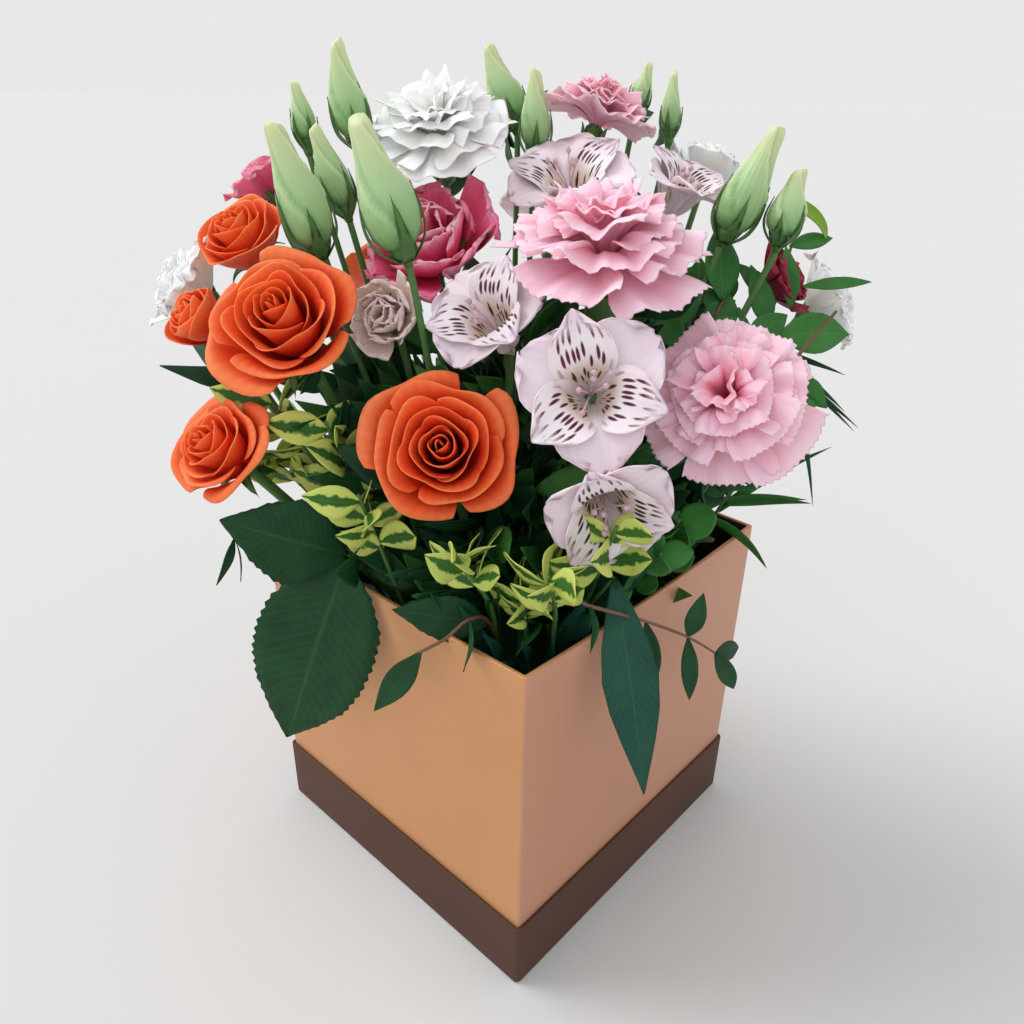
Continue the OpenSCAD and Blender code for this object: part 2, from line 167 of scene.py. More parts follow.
def tube(path, radii, sides=8, tone=0.5):
    # round tube: a circle carried along a path of points, with its own radius at each, closed at its ends
    path = np.asarray(path, float)
    radii = np.broadcast_to(np.asarray(radii, float), (len(path),))
    way = unit(np.gradient(path, axis=0))
    # any direction that no stem runs along
    x = unit(np.cross(way, [0.31, 0.17, 0.93]))
    y = np.cross(way, x)
    a = np.linspace(0, 2 * math.pi, sides, endpoint=False)[:, None, None]
    p = path[None] + radii[None, :, None] * (np.cos(a) * x[None] + np.sin(a) * y[None])
    p = np.concatenate([np.broadcast_to(path[:1], (sides, 1, 3)), p,
                        np.broadcast_to(path[-1:], (sides, 1, 3))], axis=1)
    return {"p": p, "wrap": True, "tone": tone}


def curve(points, count=24):
    # smooth path through a few points (Catmull-Rom)
    p = np.asarray(points, float)
    p = np.concatenate([2 * p[:1] - p[1:2], p, 2 * p[-1:] - p[-2:-1]])
    t = np.linspace(0, len(p) - 3 - 1e-9, count)
    i = t.astype(int)
    f = (t - i)[:, None]
    a, b, c, d = p[i], p[i + 1], p[i + 2], p[i + 3]
    bend, twist = 2 * a - 5 * b + 4 * c - d, 3 * b - a - 3 * c + d
    return 0.5 * (2 * b + (c - a) * f + bend * f ** 2 + twist * f ** 3)


class Value:
    # a number or colour that varies over a material; arithmetic on it adds math nodes
    def __init__(self, tree, socket):
        self.tree = tree
        self.socket = socket

    def by(self, kind, *others):
        return mathNode(self.tree, kind, self, *others)

    def __add__(self, other):
        return self.by("ADD", other)

    def __sub__(self, other):
        return self.by("SUBTRACT", other)

    def __rsub__(self, other):
        return mathNode(self.tree, "SUBTRACT", other, self)

    def __mul__(self, other):
        return self.by("MULTIPLY", other)


def feed(tree, socket, value):
    # a link from another node, a plain number, or a colour made opaque
    if isinstance(value, Value):
        tree.links.new(value.socket, socket)
    elif isinstance(value, (int, float)):
        socket.default_value = value
    else:
        socket.default_value = (*value, 1)


def mathNode(tree, kind, *values):
    node = tree.nodes.new("ShaderNodeMath")
    node.operation = kind
    for socket, value in zip(node.inputs, values):
        feed(tree, socket, value)
    return Value(tree, node.outputs[0])


class Look:
    # a material with one principled shader, and the few kinds of node that vary it
    def __init__(self, name, rough, metal=0.0, specular=0.3, subsurface=0.0):
        self.material = bpy.data.materials.new(name)
        self.material.use_nodes = True
        self.tree = self.material.node_tree
        self.shader = self.tree.nodes["Principled BSDF"]
        self.set("Roughness", rough)
        self.set("Metallic", metal)
        self.set("Specular IOR Level", specular)
        if subsurface:
            self.set("Subsurface Weight", subsurface)
            self.set("Subsurface Scale", 1.0)
            self.shader.inputs["Subsurface Radius"].default_value = (0.004, 0.002, 0.001)

    def set(self, key, value):
        feed(self.tree, self.shader.inputs[key], value)

    def node(self, kind, **inputs):
        node = self.tree.nodes.new("ShaderNode" + kind)
        for key, value in inputs.items():
            if isinstance(value, bpy.types.NodeSocket):
                self.tree.links.new(value, node.inputs[key])
            else:
                node.inputs[key].default_value = value
        return node

    def noise(self, scale, detail=4.0, stretch=(1, 1, 1)):
        place = self.node("Mapping", Vector=self.node("TexCoord").outputs["Object"], Scale=stretch)
        texture = self.node("TexNoise", Vector=place.outputs["Vector"], Scale=scale, Detail=detail,
                            Roughness=0.55)
        return Value(self.tree, texture.outputs["Fac"])

    def ramp(self, value, stops):
        node = self.node("ValToRGB", Fac=value.socket)
        elements = node.color_ramp.elements
        while len(elements) < len(stops):
            elements.new(0.5)
        for element, (at, colour) in zip(elements, stops):
            element.position = at
            element.color = (*colour, 1)
        return Value(self.tree, node.outputs["Color"])

    def mix(self, share, a, b, kind="MIX"):
        node = self.node("Mix")
        node.data_type = "RGBA"
        node.blend_type = kind
        # sockets 0, 6, 7 and 2 are the colour mixer's own share, two colours and result
        for number, value in ((0, share), (6, a), (7, b)):
            feed(self.tree, node.inputs[number], value)
        return Value(self.tree, node.outputs[2])

    def split(self, vector):
        return [Value(self.tree, part) for part in self.node("SeparateXYZ", Vector=vector).outputs]

    def uv(self):
        node = self.node("UVMap")
        node.uv_map = "own"
        return self.split(node.outputs["UV"])[:2]

    def attribute(self, name):
        node = self.node("Attribute")
        node.attribute_name = name
        return Value(self.tree, node.outputs["Fac"])

    def bump(self, height, strength, distance=0.0003):
        node = self.node("Bump", Strength=strength, Distance=distance, Height=height.socket)
        self.tree.links.new(node.outputs["Normal"], self.shader.inputs["Normal"])


black, white = (0, 0, 0), (1, 1, 1)


def petalMaterial(name, stops, rough=0.55, veins=0.35, subsurface=0.2):
    # colour by the petal's tone, from painted shade in its folds and at its foot to its lighter rim, with
    # fine veins running along it
    look = Look(name, rough, subsurface=subsurface)
    colour = look.ramp(look.attribute("tone") + (look.noise(140, 3) - 0.5) * 0.28, stops)
    fan = (look.uv()[0] * 90.0).by("SINE")
    deeper = [c * 0.6 for c in stops[0][1]]
    look.set("Base Color", look.mix((fan + 1.0) * (0.5 * veins * 0.22), colour, deeper))
    look.bump(fan * 0.35 + look.noise(700, 2), 0.25)
    return look.material


def leafMaterial(name, dark, light, vein, rough=0.45, edge=None):
    # leaf: midrib and slanting side veins from its own (u, v), mottled, with an optional pale margin
    look = Look(name, rough, specular=0.2)
    u, v = look.uv()
    across = (u * 2.0 - 1.0).by("ABSOLUTE")
    side = (v * 60.0 - across * 11.0).by("COSINE").by("ABSOLUTE").by("POWER", 14.0)
    rib = 1.0 - (across * 16.0).by("MINIMUM", 1.0)
    base = look.mix(look.noise(90) + (look.attribute("tone") - 0.5), dark, light)
    if edge:
        ragged = across + (look.noise(380, 2) - 0.5) * 0.7
        base = look.mix(look.ramp(ragged, [(0.28, black), (0.44, white)]), base, edge)
    line = (side * 0.35).by("MAXIMUM", rib)
    look.set("Base Color", look.mix(line * 0.28, base, vein))
    look.bump(look.noise(500, 3) - line * 0.8, 0.35, 0.0004)
    return look.material


def cardMaterial(name, low, high, rough, metal=0.0, grain=900, strength=0.12, paintedSideTint=None):
    # paper-wrapped board: slow cloud of tone, fine grain, faint roughness change
    look = Look(name, rough, metal)
    fine = look.noise(grain, 3)
    colour = look.mix(look.noise(9, 3) * 0.75 + fine * 0.25, low, high)
    if paintedSideTint:
        # painted light: walls that face along Y are tinted pinker than those that face along X, for the
        # different light that falls on that side of the copper
        facingY = look.split(look.node("TexCoord").outputs["Normal"])[1].by("ABSOLUTE")
        colour = look.mix(facingY, colour, paintedSideTint, "MULTIPLY")
    look.set("Base Color", colour)
    look.set("Roughness", fine * 0.14 + (rough - 0.07))
    look.bump(fine, strength, 0.0002)
    return look.material


def alstroemeriaMaterial():
    # pale tepal with maroon dashes along it where the mark is 1, a yellow throat and a mauve flush at the rim
    look = Look("alstroemeriaPetal", 0.5, subsurface=0.2)
    u, v = look.uv()
    mark = look.attribute("mark")
    base = look.ramp(v * 0.7 + look.noise(60, 3) * 0.4,
                     [(0.1, (0.78, 0.62, 0.46)), (0.35, (0.88, 0.76, 0.79)),
                                                         (0.7, (0.93, 0.82, 0.86)),
                                                         (1.0, (0.88, 0.64, 0.75))])
    throat = look.ramp(v, [(0.30, black), (0.42, white), (0.52, white), (0.64, black)])
    base = look.mix(mark * throat * 0.45, base, (0.80, 0.62, 0.25))
    place = look.node("CombineXYZ", X=(u * 12.0).socket, Y=(v * 5.0).socket).outputs["Vector"]
    cells = look.node("TexVoronoi", Scale=1.0, Randomness=0.75)
    cells.voronoi_dimensions = "2D"
    look.tree.links.new(place, cells.inputs["Vector"])
    dash = look.ramp(Value(look.tree, cells.outputs["Distance"]), [(0.22, white), (0.34, black)])
    inside = look.ramp((u * 2.0 - 1.0).by("ABSOLUTE"), [(0.62, white), (0.85, black)])
    lengthwise = look.ramp(v, [(0.22, black), (0.34, white), (0.80, white), (0.92, black)])
    look.set("Base Color", look.mix(dash * inside * (lengthwise * mark), base, (0.085, 0.012, 0.035)))
    look.bump((u * 60.0).by("SINE"), 0.2)
    return look.material


def budMaterial():
    # dark green foot to pale yellow-green tip, finely ribbed along its twist
    look = Look("budGreen", 0.42, specular=0.4, subsurface=0.2)
    value = look.attribute("tone") + (look.noise(90, 3) - 0.5) * 0.22
    look.set("Base Color", look.ramp(value, [(0.0, (0.07, 0.20, 0.055)), (0.3, (0.22, 0.43, 0.16)),
                                             (0.65, (0.42, 0.62, 0.31)), (1.0, (0.68, 0.76, 0.42))]))
    u, v = look.uv()
    look.bump((u * 126.0 + v * 9.0).by("SINE"), 0.25)
    return look.material


def stemMaterial(name, low, high):
    look = Look(name, 0.45, specular=0.4)
    look.set("Base Color", look.mix(look.noise(60), low, high))
    look.bump(look.noise(500, 2, (1, 1, 0.15)), 0.3)
    return look.material


print("materials")
# copper walls facing along Y carry a painted light tint, pinker than those facing along X
copperCard = cardMaterial("copperCard", (0.55, 0.255, 0.105), (0.67, 0.345, 0.16), 0.42, 0.25,
                          paintedSideTint=(0.94, 0.97, 1.42))
brownCard = cardMaterial("brownCard", (0.060, 0.024, 0.014), (0.105, 0.048, 0.030), 0.6, strength=0.2)
liningPaper = cardMaterial("liningPaper", (0.028, 0.013, 0.010), (0.045, 0.022, 0.016), 0.8)
linerPlastic = cardMaterial("linerPlastic", (0.012, 0.013, 0.013), (0.02, 0.021, 0.021), 0.25, grain=60,
                            strength=0.05)
foamGreen = cardMaterial("foamGreen", (0.010, 0.045, 0.018), (0.03, 0.10, 0.04), 0.9, grain=1400,
                         strength=1.0)

orangePetal = petalMaterial("orangePetal", [(0.0, (0.56, 0.016, 0.008)), (0.35, (0.84, 0.066, 0.018)),
                                            (0.7, (0.94, 0.140, 0.036)), (1.0, (0.97, 0.23, 0.075))], 0.6)
carnationPetal = petalMaterial("carnationPetal", [(0.0, (0.95, 0.28, 0.42)), (0.35, (1.0, 0.44, 0.57)),
                                                  (0.7, (1.0, 0.58, 0.70)),
                                                  (1.0, (1.0, 0.68, 0.79))], 0.65, 0.05, 0.25)
whitePetal = petalMaterial("whitePetal", [(0.0, (0.88, 0.88, 0.78)), (0.3, (0.97, 0.97, 0.94)),
                                          (0.7, (1.0, 1.0, 0.99)), (1.0, (1.0, 1.0, 1.0))], 0.6, 0.0)
pinkPetal = petalMaterial("pinkPetal", [(0.0, (0.60, 0.02, 0.11)), (0.35, (0.85, 0.07, 0.22)),
                                        (0.7, (0.93, 0.19, 0.35)), (1.0, (0.96, 0.46, 0.57))])
creamPetal = petalMaterial("creamPetal", [(0.0, (0.85, 0.72, 0.50)), (0.35, (0.94, 0.76, 0.68)),
                                          (0.7, (0.97, 0.84, 0.78)), (1.0, (0.97, 0.72, 0.74))])
crimsonPetal = petalMaterial("crimsonPetal", [(0.0, (0.09, 0.003, 0.012)), (0.4, (0.22, 0.008, 0.03)),
                                              (1.0, (0.40, 0.03, 0.08))])

alstroemeriaPetal = alstroemeriaMaterial()
budGreen = budMaterial()
greenStem = stemMaterial("greenStem", (0.035, 0.11, 0.025), (0.10, 0.24, 0.06))
brownTwig = stemMaterial("brownTwig", (0.10, 0.045, 0.03), (0.22, 0.12, 0.07))
darkLeaf = leafMaterial("darkLeaf", (0.006, 0.038, 0.014), (0.018, 0.095, 0.030), (0.05, 0.17, 0.05), 0.5)
greenLeaf = leafMaterial("greenLeaf", (0.018, 0.10, 0.022), (0.06, 0.24, 0.045), (0.13, 0.34, 0.09))
limeLeaf = leafMaterial("limeLeaf", (0.12, 0.28, 0.02), (0.30, 0.48, 0.05), (0.30, 0.48, 0.10))
variegatedLeaf = leafMaterial("variegatedLeaf", (0.02, 0.09, 0.015), (0.05, 0.17, 0.025), (0.10, 0.24, 0.05),
                              0.42,
                              edge=(0.56, 0.65, 0.15))
blueLeaf = leafMaterial("blueLeaf", (0.008, 0.055, 0.035), (0.022, 0.11, 0.065), (0.06, 0.18, 0.10))
stamenPale = stemMaterial("stamenPale", (0.55, 0.35, 0.42), (0.70, 0.50, 0.55))


def squareRing(half, corner, around, bow):
    # rounded square of that half side and corner radius; bow pushes the middle of each side out
    flat = np.linspace(-1, 1, around // 4 - 6)
    edge = np.stack([half + bow * (1 - flat ** 2), flat * (half - corner)], axis=1)
    a = np.radians(np.linspace(0, 90, 8)[1:-1])
    bend = half - corner + corner * np.stack([np.cos(a), np.sin(a)], axis=1)
    side = np.concatenate([edge, bend])
    rings = []
    for quarter in range(4):
        t = math.radians(90 * quarter)
        turn = np.array([[math.cos(t), -math.sin(t)], [math.sin(t), math.cos(t)]])
        rings.append(side @ turn.T)
    return np.concatenate(rings)


def squareVessel(name, profile, around, material, body, node, bow=0.0):
    # square tray: a profile of (half side, corner radius, z, share of bow) carried round a rounded square,
    # closed in the middle at both its ends
    columns = []
    for half, corner, z, share in profile:
        ring = squareRing(half, min(corner, half * 0.5), around,
                          bow * share) if half > 0 else np.zeros((around, 2))
        columns.append(np.concatenate([ring, np.full((around, 1), z)], axis=1))
    addPiece(name, [{"p": np.stack(columns, axis=1), "wrap": True}], material, body, replaces=(node,))


def rising(half, corner, low, high, steps=16):
    # rows of a wall between low and high; its share of bow grows with the cube of the height
    return [(half, corner, low + k / steps * (high - low), (k / steps) ** 3) for k in range(1, steps)]


def vesselOf(node):
    # half side, lowest and highest z of a square node
    low, high = boxOf(node)
    return (high[0] - low[0]) / 2, low[2], high[2]


boxLook = {"around": 104, "edge": 0.0011, "sharp": 0.0004, "foot": 0.0004, "rim": 0.0005, "bow": 0.0016}


def buildBox():
    # board from the middle of its underside up the outer wall, over the rim and down inside to the floor
    half, base, rim = vesselOf("box_shell")
    inner, floor, _ = vesselOf("box_lining")
    e, s, foot, r = boxLook["edge"], boxLook["sharp"], boxLook["foot"], boxLook["rim"]
    profile = [(0, 0, base, 0), (half * 0.5, e, base, 0), (half - foot, e, base, 0),
               (half, e, base + foot, 0),
               *rising(half, e, base, rim),
               (half, e, rim - r, 1), (half - r * 0.3, e, rim - 0.3 * r, 1), (half - r, e, rim, 1),
               (inner + r, e, rim, 1), (inner + 0.3 * r, e, rim - 0.3 * r, 1), (inner, s, rim - r, 1),
               *rising(inner, s, floor, rim)[::-1],
               (inner, s, floor, 0), (inner * 0.5, s, floor, 0), (0, 0, floor, 0)]
    squareVessel("copperBox", profile, boxLook["around"], copperCard, "box", "box_shell",
                 boxLook["bow"])


liningLook = {"thick": 0.0004, "gap": 0.00003}


def buildLining():
    # paper a hair inside the board, and following its bow
    half, floor, top = vesselOf("box_lining")
    thin, gap = liningLook["thick"], liningLook["gap"]
    out, into = half - gap, half - thin
    profile = [(0, 0, floor + gap, 0), (half * 0.5, thin, floor + gap, 0), (out, thin, floor + gap, 0),
               *rising(out, thin, floor, top), (out, thin, top, 1), (into, thin, top, 1),
               *rising(into, thin, floor, top)[::-1],
               (into, thin, floor + thin, 0), (half * 0.5, thin, floor + thin, 0), (0, 0, floor + thin, 0)]
    squareVessel("paperLining", profile, boxLook["around"], liningPaper, "box", "box_lining",
                 boxLook["bow"])


lidLook = {"around": 96, "board": 0.0012, "round": 0.0012, "corner": 0.0022, "under": 0.002, "inside": 0.0013}


def buildLid():
    # upturned lid: rounded foot, outer wall, eased rim, inner wall and floor
    half, _, top = vesselOf("base_lid")
    board, r, c, inside, under = (lidLook[key] for key in ("board", "round", "corner", "inside", "under"))
    profile = [(0, 0, 0, 0), (half * 0.6, under, 0, 0), (half - r, under, 0, 0)]
    for a in (25, 50, 75):
        profile.append((half - r + r * math.sin(math.radians(a)), c, r - r * math.cos(math.radians(a)), 0))
    profile += [(half, c, r + k / 5 * (top - 2 * r), 0) for k in range(5)]
    profile += [(half, c, top - 0.0005, 0), (half - 0.0001, c, top - 0.0002, 0),
                (half - 0.0004, under, top, 0),
                (half - board + 0.0003, 0.0016, top, 0), (half - board, inside, top - 0.0003, 0),
                (half - board, inside, board, 0), (half * 0.5, inside, board, 0), (0, 0, board, 0)]
    squareVessel("brownLid", profile, lidLook["around"], brownCard, "base_lid", "base_lid")


linerLook = {"around": 64, "wall": 0.0008, "corner": 0.005, "foot": 0.001, "lip": 0.0004}


def buildLiner():
    # thin tray: outer wall with an eased foot and lip, then the inner wall one thickness in
    half, floor, top = vesselOf("liner_tray")
    wall, c, foot, lip = (linerLook[key] for key in ("wall", "corner", "foot", "lip"))
    middle, inner, tight = (floor + top) / 2, half - wall, c - wall
    profile = [(0, 0, floor, 0), (half * 0.6, c, floor, 0), (half - foot, c, floor, 0),
               (half, c, floor + foot, 0),
               (half, c, middle, 0), (half, c, top - lip, 0), (half - lip, c, top, 0),
               (inner, tight, top - lip, 0), (inner, tight, middle, 0),
               (inner, tight, floor + wall, 0), (half * 0.5, tight, floor + wall, 0), (0, 0, floor + wall, 0)]
    squareVessel("plasticLiner", profile, linerLook["around"], linerPlastic, "arrangement",
                 "liner_tray")


print("box")
buildBox()
buildLining()
buildLid()
buildLiner()
foam = frame["nodes"]["foam_block"]
foam.data.materials.clear()
foam.data.materials.append(foamGreen)


def spread(outline, v):
    # half width at v along a petal: smooth curve through (v, width) points
    line = curve(outline, 60)
    return np.interp(v, np.maximum.accumulate(line[:, 0]), np.maximum(line[:, 1], 0.005))


def upTo(n):
    # n steps from 0 to 1 whose last is narrow, so that a rim shades crisply
    return np.append(np.linspace(0, 0.98, n - 1), 1.0)


def acrossTo(n):
    # n steps from -1 to 1 with narrow ones at both ends
    return np.concatenate([[-1.0], np.linspace(-0.975, 0.975, n - 2), [1.0]])


petalOutlines = {
    "fan": [(0, 0.10), (0.3, 0.16), (0.55, 0.42), (0.8, 0.85), (1, 1.0)],
    "broad": [(0, 0.16), (0.25, 0.42), (0.5, 0.82), (0.75, 1.0), (0.9, 0.96), (0.98, 0.75), (1, 0.5)],
    "outerTepal": [(0, 0.12), (0.22, 0.20), (0.42, 0.60), (0.62, 0.95), (0.80, 1.0), (0.92, 0.88),
                   (0.985, 0.6), (1, 0.3)],
    "innerTepal": [(0, 0.12), (0.25, 0.20), (0.5, 0.72), (0.7, 1.0), (0.86, 0.95), (0.96, 0.6), (1, 0.2)],
    "sepal": [(0, 0.8), (0.25, 1.0), (0.6, 0.7), (0.85, 0.35), (1, 0.05)],
}


def petal(width, stations, outline, ruffle=0.0, waves=3.0, phase=0.0, cup=0.25, serrate=0.0, teeth=9, nu=13,
          nv=12, lean=0.0, toneBase=0.0, toneRim=1.0, notch=0.0, pleat=2.0):
    # petal carried along a path in the (out, up) plane: stations are path points, outline its half width,
    # cup bends its sides in, ruffle waves its rim and, for a low pleat, more of its length, serrate cuts
    # teeth in the rim and notch a dent at its middle, lean twists it sideways
    u, v = gridOf(acrossTo(nu), upTo(nv))
    path = curve([(a, 0, b) for a, b in stations], 40)
    rim = 1 - 0.10 * np.abs(u) ** 2.4 - notch * np.exp(-(u / 0.25) ** 2)
    if serrate:
        rim = rim + serrate * (np.abs(((u + 1) * teeth / 2) % 1 - 0.5) - 0.25) * 2
    at = np.clip(v * rim, 0, 1.15) * (len(path) - 1)
    i = np.clip(at.astype(int), 0, len(path) - 2)
    spine = path[i] + (path[i + 1] - path[i]) * (at - i)[..., None]
    way = unit(path[i + 1] - path[i])
    normal = np.stack([-way[..., 2], np.zeros_like(way[..., 0]), way[..., 0]], axis=-1)
    half = width * spread(petalOutlines[outline], v)
    wave = ruffle * v ** pleat * np.sin(waves * math.pi * u + phase) * (0.35 + 0.65 * np.abs(u))
    wave = wave + ruffle * 0.30 * v ** 3 * np.sin(2.1 * waves * math.pi * u + 2.1 * phase)
    p = spine + normal * (cup * half * u ** 2 + wave)[..., None]
    p[..., 1] += u * half * (1 - 0.12 * cup)
    p[..., 0] += lean * u * v * width
    # tone rises from the foot to the rim; the ruffles' crests are painted lighter and their troughs painted
    # in shade
    tone = toneBase + (toneRim - toneBase) * v ** 1.3 + 0.8 * wave / max(width, 1e-6)
    return {"p": p, "tone": np.clip(tone, 0, 1)}


def about(sheet, angle):
    # turns a sheet about the bloom's axis
    a = math.radians(angle)
    turn = np.array([[math.cos(a), -math.sin(a), 0], [math.sin(a), math.cos(a), 0], [0, 0, 1]])
    sheet["p"] = sheet["p"] @ turn.T
    return sheet


roseLook = {"petals": 20, "around": 23, "along": 18}


def roseSheets(w, open_, seed):
    # garden rose: petals wrapped round the axis at growing radius, each a bent curve turned through its
    # own span; inner ones stand rolled together, outer ones lean out with their side edges rolled back
    r = np.random.default_rng(seed)
    sheets = []
    count, nu, nv = roseLook["petals"], roseLook["around"], roseLook["along"]
    u, v = gridOf(acrossTo(nu), upTo(nv))
    for k in range(count):
        t = k / (count - 1)
        start = math.radians(k * golden + r.uniform(-9, 9))
        span = math.radians(112 - 48 * t ** 0.8 + r.uniform(-5, 5))
        s = v * (1 - (0.26 - 0.08 * t) * np.abs(u) ** 3 + 0.08 * t * (1 - np.abs(u)) ** 2)
        rim = w * (0.004 + 0.17 * t + 0.22 * t ** 2.2)
        bowl = w * (0.034 + 0.17 * t + 0.21 * t ** 1.8) * (1.0 - 0.06 * open_ * t)
        crest = w * (0.27 - 0.06 * t - 0.17 * open_ * max(0.0, t - 0.3) ** 1.2 + r.uniform(-0.012, 0.012))
        low = -0.34 * w
        rho = (1 - s) ** 2 * 0.05 * w + 2 * s * (1 - s) * bowl * 1.12 + s ** 2 * rim
        z = (1 - s) ** 2 * low + 2 * s * (1 - s) * (crest - w * (0.26 - 0.10 * open_ * t)) + s ** 2 * crest
        lip = np.clip((s - 0.62) / 0.38, 0, 1.5)
        curl = w * (0.006 + 0.115 * t ** 1.1) * open_ * (0.55 + 0.85 * np.abs(u) ** 1.5)
        rho = rho + curl * lip ** 1.5
        z = z - curl * (0.10 + 0.85 * t) * lip ** 2.4
        wobble = w * v ** 2 * (0.022 * t * np.sin(4.6 * u + 3 * k) + 0.006 * t * np.sin(9 * u + k))
        rho = rho * (1 + 0.11 * u * (1 - 0.6 * t)) + wobble
        z = z + 0.8 * wobble + 0.05 * w * t * v * math.sin(2.1 * k) * u
        phi = start + u * span * (0.40 + 0.60 * np.sin(math.pi * (0.10 + 0.58 * v)) ** 0.8)
        p = np.stack([rho * np.cos(phi), rho * np.sin(phi), z], axis=-1)
        # painted shade deep in the bloom: darker at each petal's foot and on the inner petals; the
        # curled-back lip painted lighter
        tone = 0.16 + 0.54 * v ** 1.1 * (0.45 + 0.55 * t)
        tone = tone + 0.30 * np.clip(lip, 0, 1) + 0.10 * np.sin(3 * u + k) * v
        sheets.append({"p": p, "tone": np.clip(tone, 0, 1)})
    return sheets


fanLook = {"carnation": {"count": 27, "teeth": 0.030}, "frilled": {"count": 26, "teeth": 0.0}}


def carnationSheets(w, seed, count, teeth):
    # carnation: fan-shaped petals at every slope from upright in the middle to level outside, with ruffled,
    # finely toothed rims; without teeth the petals are broader, for a double lisianthus
    r = np.random.default_rng(seed)
    sheets = []
    for k in range(count):
        t = (k + 0.5) / count
        reach = w * (0.02 + 0.48 * t ** 0.62) * r.uniform(0.90, 1.05)
        rise = w * (0.26 * (1 - t ** 1.1) - 0.06 * t ** 2 + 0.04 * r.uniform(-1, 1))
        stations = [(0.008 * w, -0.12 * w), (0.02 * w + 0.14 * reach, -0.02 * w + 0.25 * rise),
                    (0.55 * reach, 0.80 * rise + 0.02 * w), (reach, rise)]
        half = w * (0.15 + 0.13 * t) * (1.0 if teeth else 1.25)
        ruffle = w * (0.024 + 0.022 * r.uniform())
        sheet = petal(half, stations, "fan", ruffle, waves=r.uniform(1.5, 2.6), phase=r.uniform(0, 6),
                      cup=r.uniform(-0.1, 0.35), serrate=teeth, teeth=13, nu=42, nv=13, toneRim=0.95,
                      pleat=1.3)
        # inner petals painted darker, as shade in the heart of the bloom
        sheet["tone"] = np.clip(sheet["tone"] - 0.24 * (1 - t) ** 2 + r.uniform(-0.06, 0.08), 0, 1)
        sheets.append(about(sheet, k * golden + r.uniform(-14, 14)))
    return sheets


ruffledLook = {"petals": 17, "deep": 0.34, "wavy": 0.036}


def ruffledSheets(w, seed, open_):
    # double lisianthus: broad wavy petals in turns round the axis, cupped inside and spreading outside
    r = np.random.default_rng(seed)
    sheets = []
    count, deep, wavy = (ruffledLook[key] for key in ("petals", "deep", "wavy"))
    for k in range(count):
        t = (k + 0.5) / count
        reach = w * (0.05 + 0.45 * t ** 0.9) * r.uniform(0.94, 1.06)
        crest = w * (0.24 - 0.20 * t * open_ + 0.03 * r.uniform(-1, 1))
        stations = [(0.03 * w, -deep * w * 0.85), (0.06 * w + 0.45 * reach, -0.17 * w),
                    (0.18 * w * t + 0.70 * reach, 0.45 * crest), (reach, crest)]
        ruffle = w * wavy * (0.5 + 0.8 * t)
        sheet = petal(w * (0.19 + 0.14 * t), stations, "broad", ruffle, waves=r.uniform(1.2, 2.4),
                      phase=r.uniform(0, 6), cup=0.55 - 0.35 * t, nu=29, nv=15, lean=0.18, toneBase=0.05,
                      toneRim=0.98)
        sheets.append(about(sheet, k * golden + r.uniform(-10, 10)))
    return sheets


def alstroemeriaSheets(w, seed, open_):
    # three broad outer tepals and three narrower streaked inner ones, flaring out of a short funnel
    r = np.random.default_rng(seed)
    sheets = []
    for k in range(6):
        outer = k % 2 == 0
        reach = 0.5 * w * (1.0 if outer else 0.92) * open_ * r.uniform(0.96, 1.04)
        tip = w * ((0.14 if outer else 0.20) - 0.06 * open_ + 0.02 * r.uniform(-1, 1))
        stations = [(0.02 * w, -0.38 * w), (0.06 * w + 0.05 * reach, -0.20 * w),
                    (0.42 * reach, 0.02 * w + 0.3 * tip), (reach, tip)]
        if outer:
            sheet = petal(0.275 * w, stations, "outerTepal", 0.018 * w, 1.4, r.uniform(0, 6), 0.30,
                          nu=19, nv=22, notch=0.03)
        else:
            sheet = petal(0.20 * w, stations, "innerTepal", 0.012 * w, 1.2, r.uniform(0, 6), 0.22,
                          nu=19, nv=22)
            sheet["mark"] = 1.0
            sheet["p"][..., 2] += 0.03 * w
        sheets.append(about(sheet, 60 * k + r.uniform(-6, 6)))
    return sheets


def stamenSheets(w, seed):
    # six thin stamens with thicker anthers at their ends, arching out of the throat
    r = np.random.default_rng(seed + 50)
    sheets = []
    for k in range(6):
        a = r.uniform(0, 2 * math.pi)
        out = r.uniform(0.05, 0.16) * w
        end = np.array([out * math.cos(a), out * math.sin(a), r.uniform(0.10, 0.20) * w])
        path = curve([(0, 0, -0.25 * w), end * [0.3, 0.3, 0.2], end], 8)
        sheets.append(tube(path, 0.0003, 5))
        anther = curve([end, end + [0, 0, 0.0012], end + [0, 0, 0.0026]], 5)
        sheets.append(tube(anther, [0.0004, 0.0009, 0.0011, 0.0009, 0.0003], 6, 0.0))
    return sheets


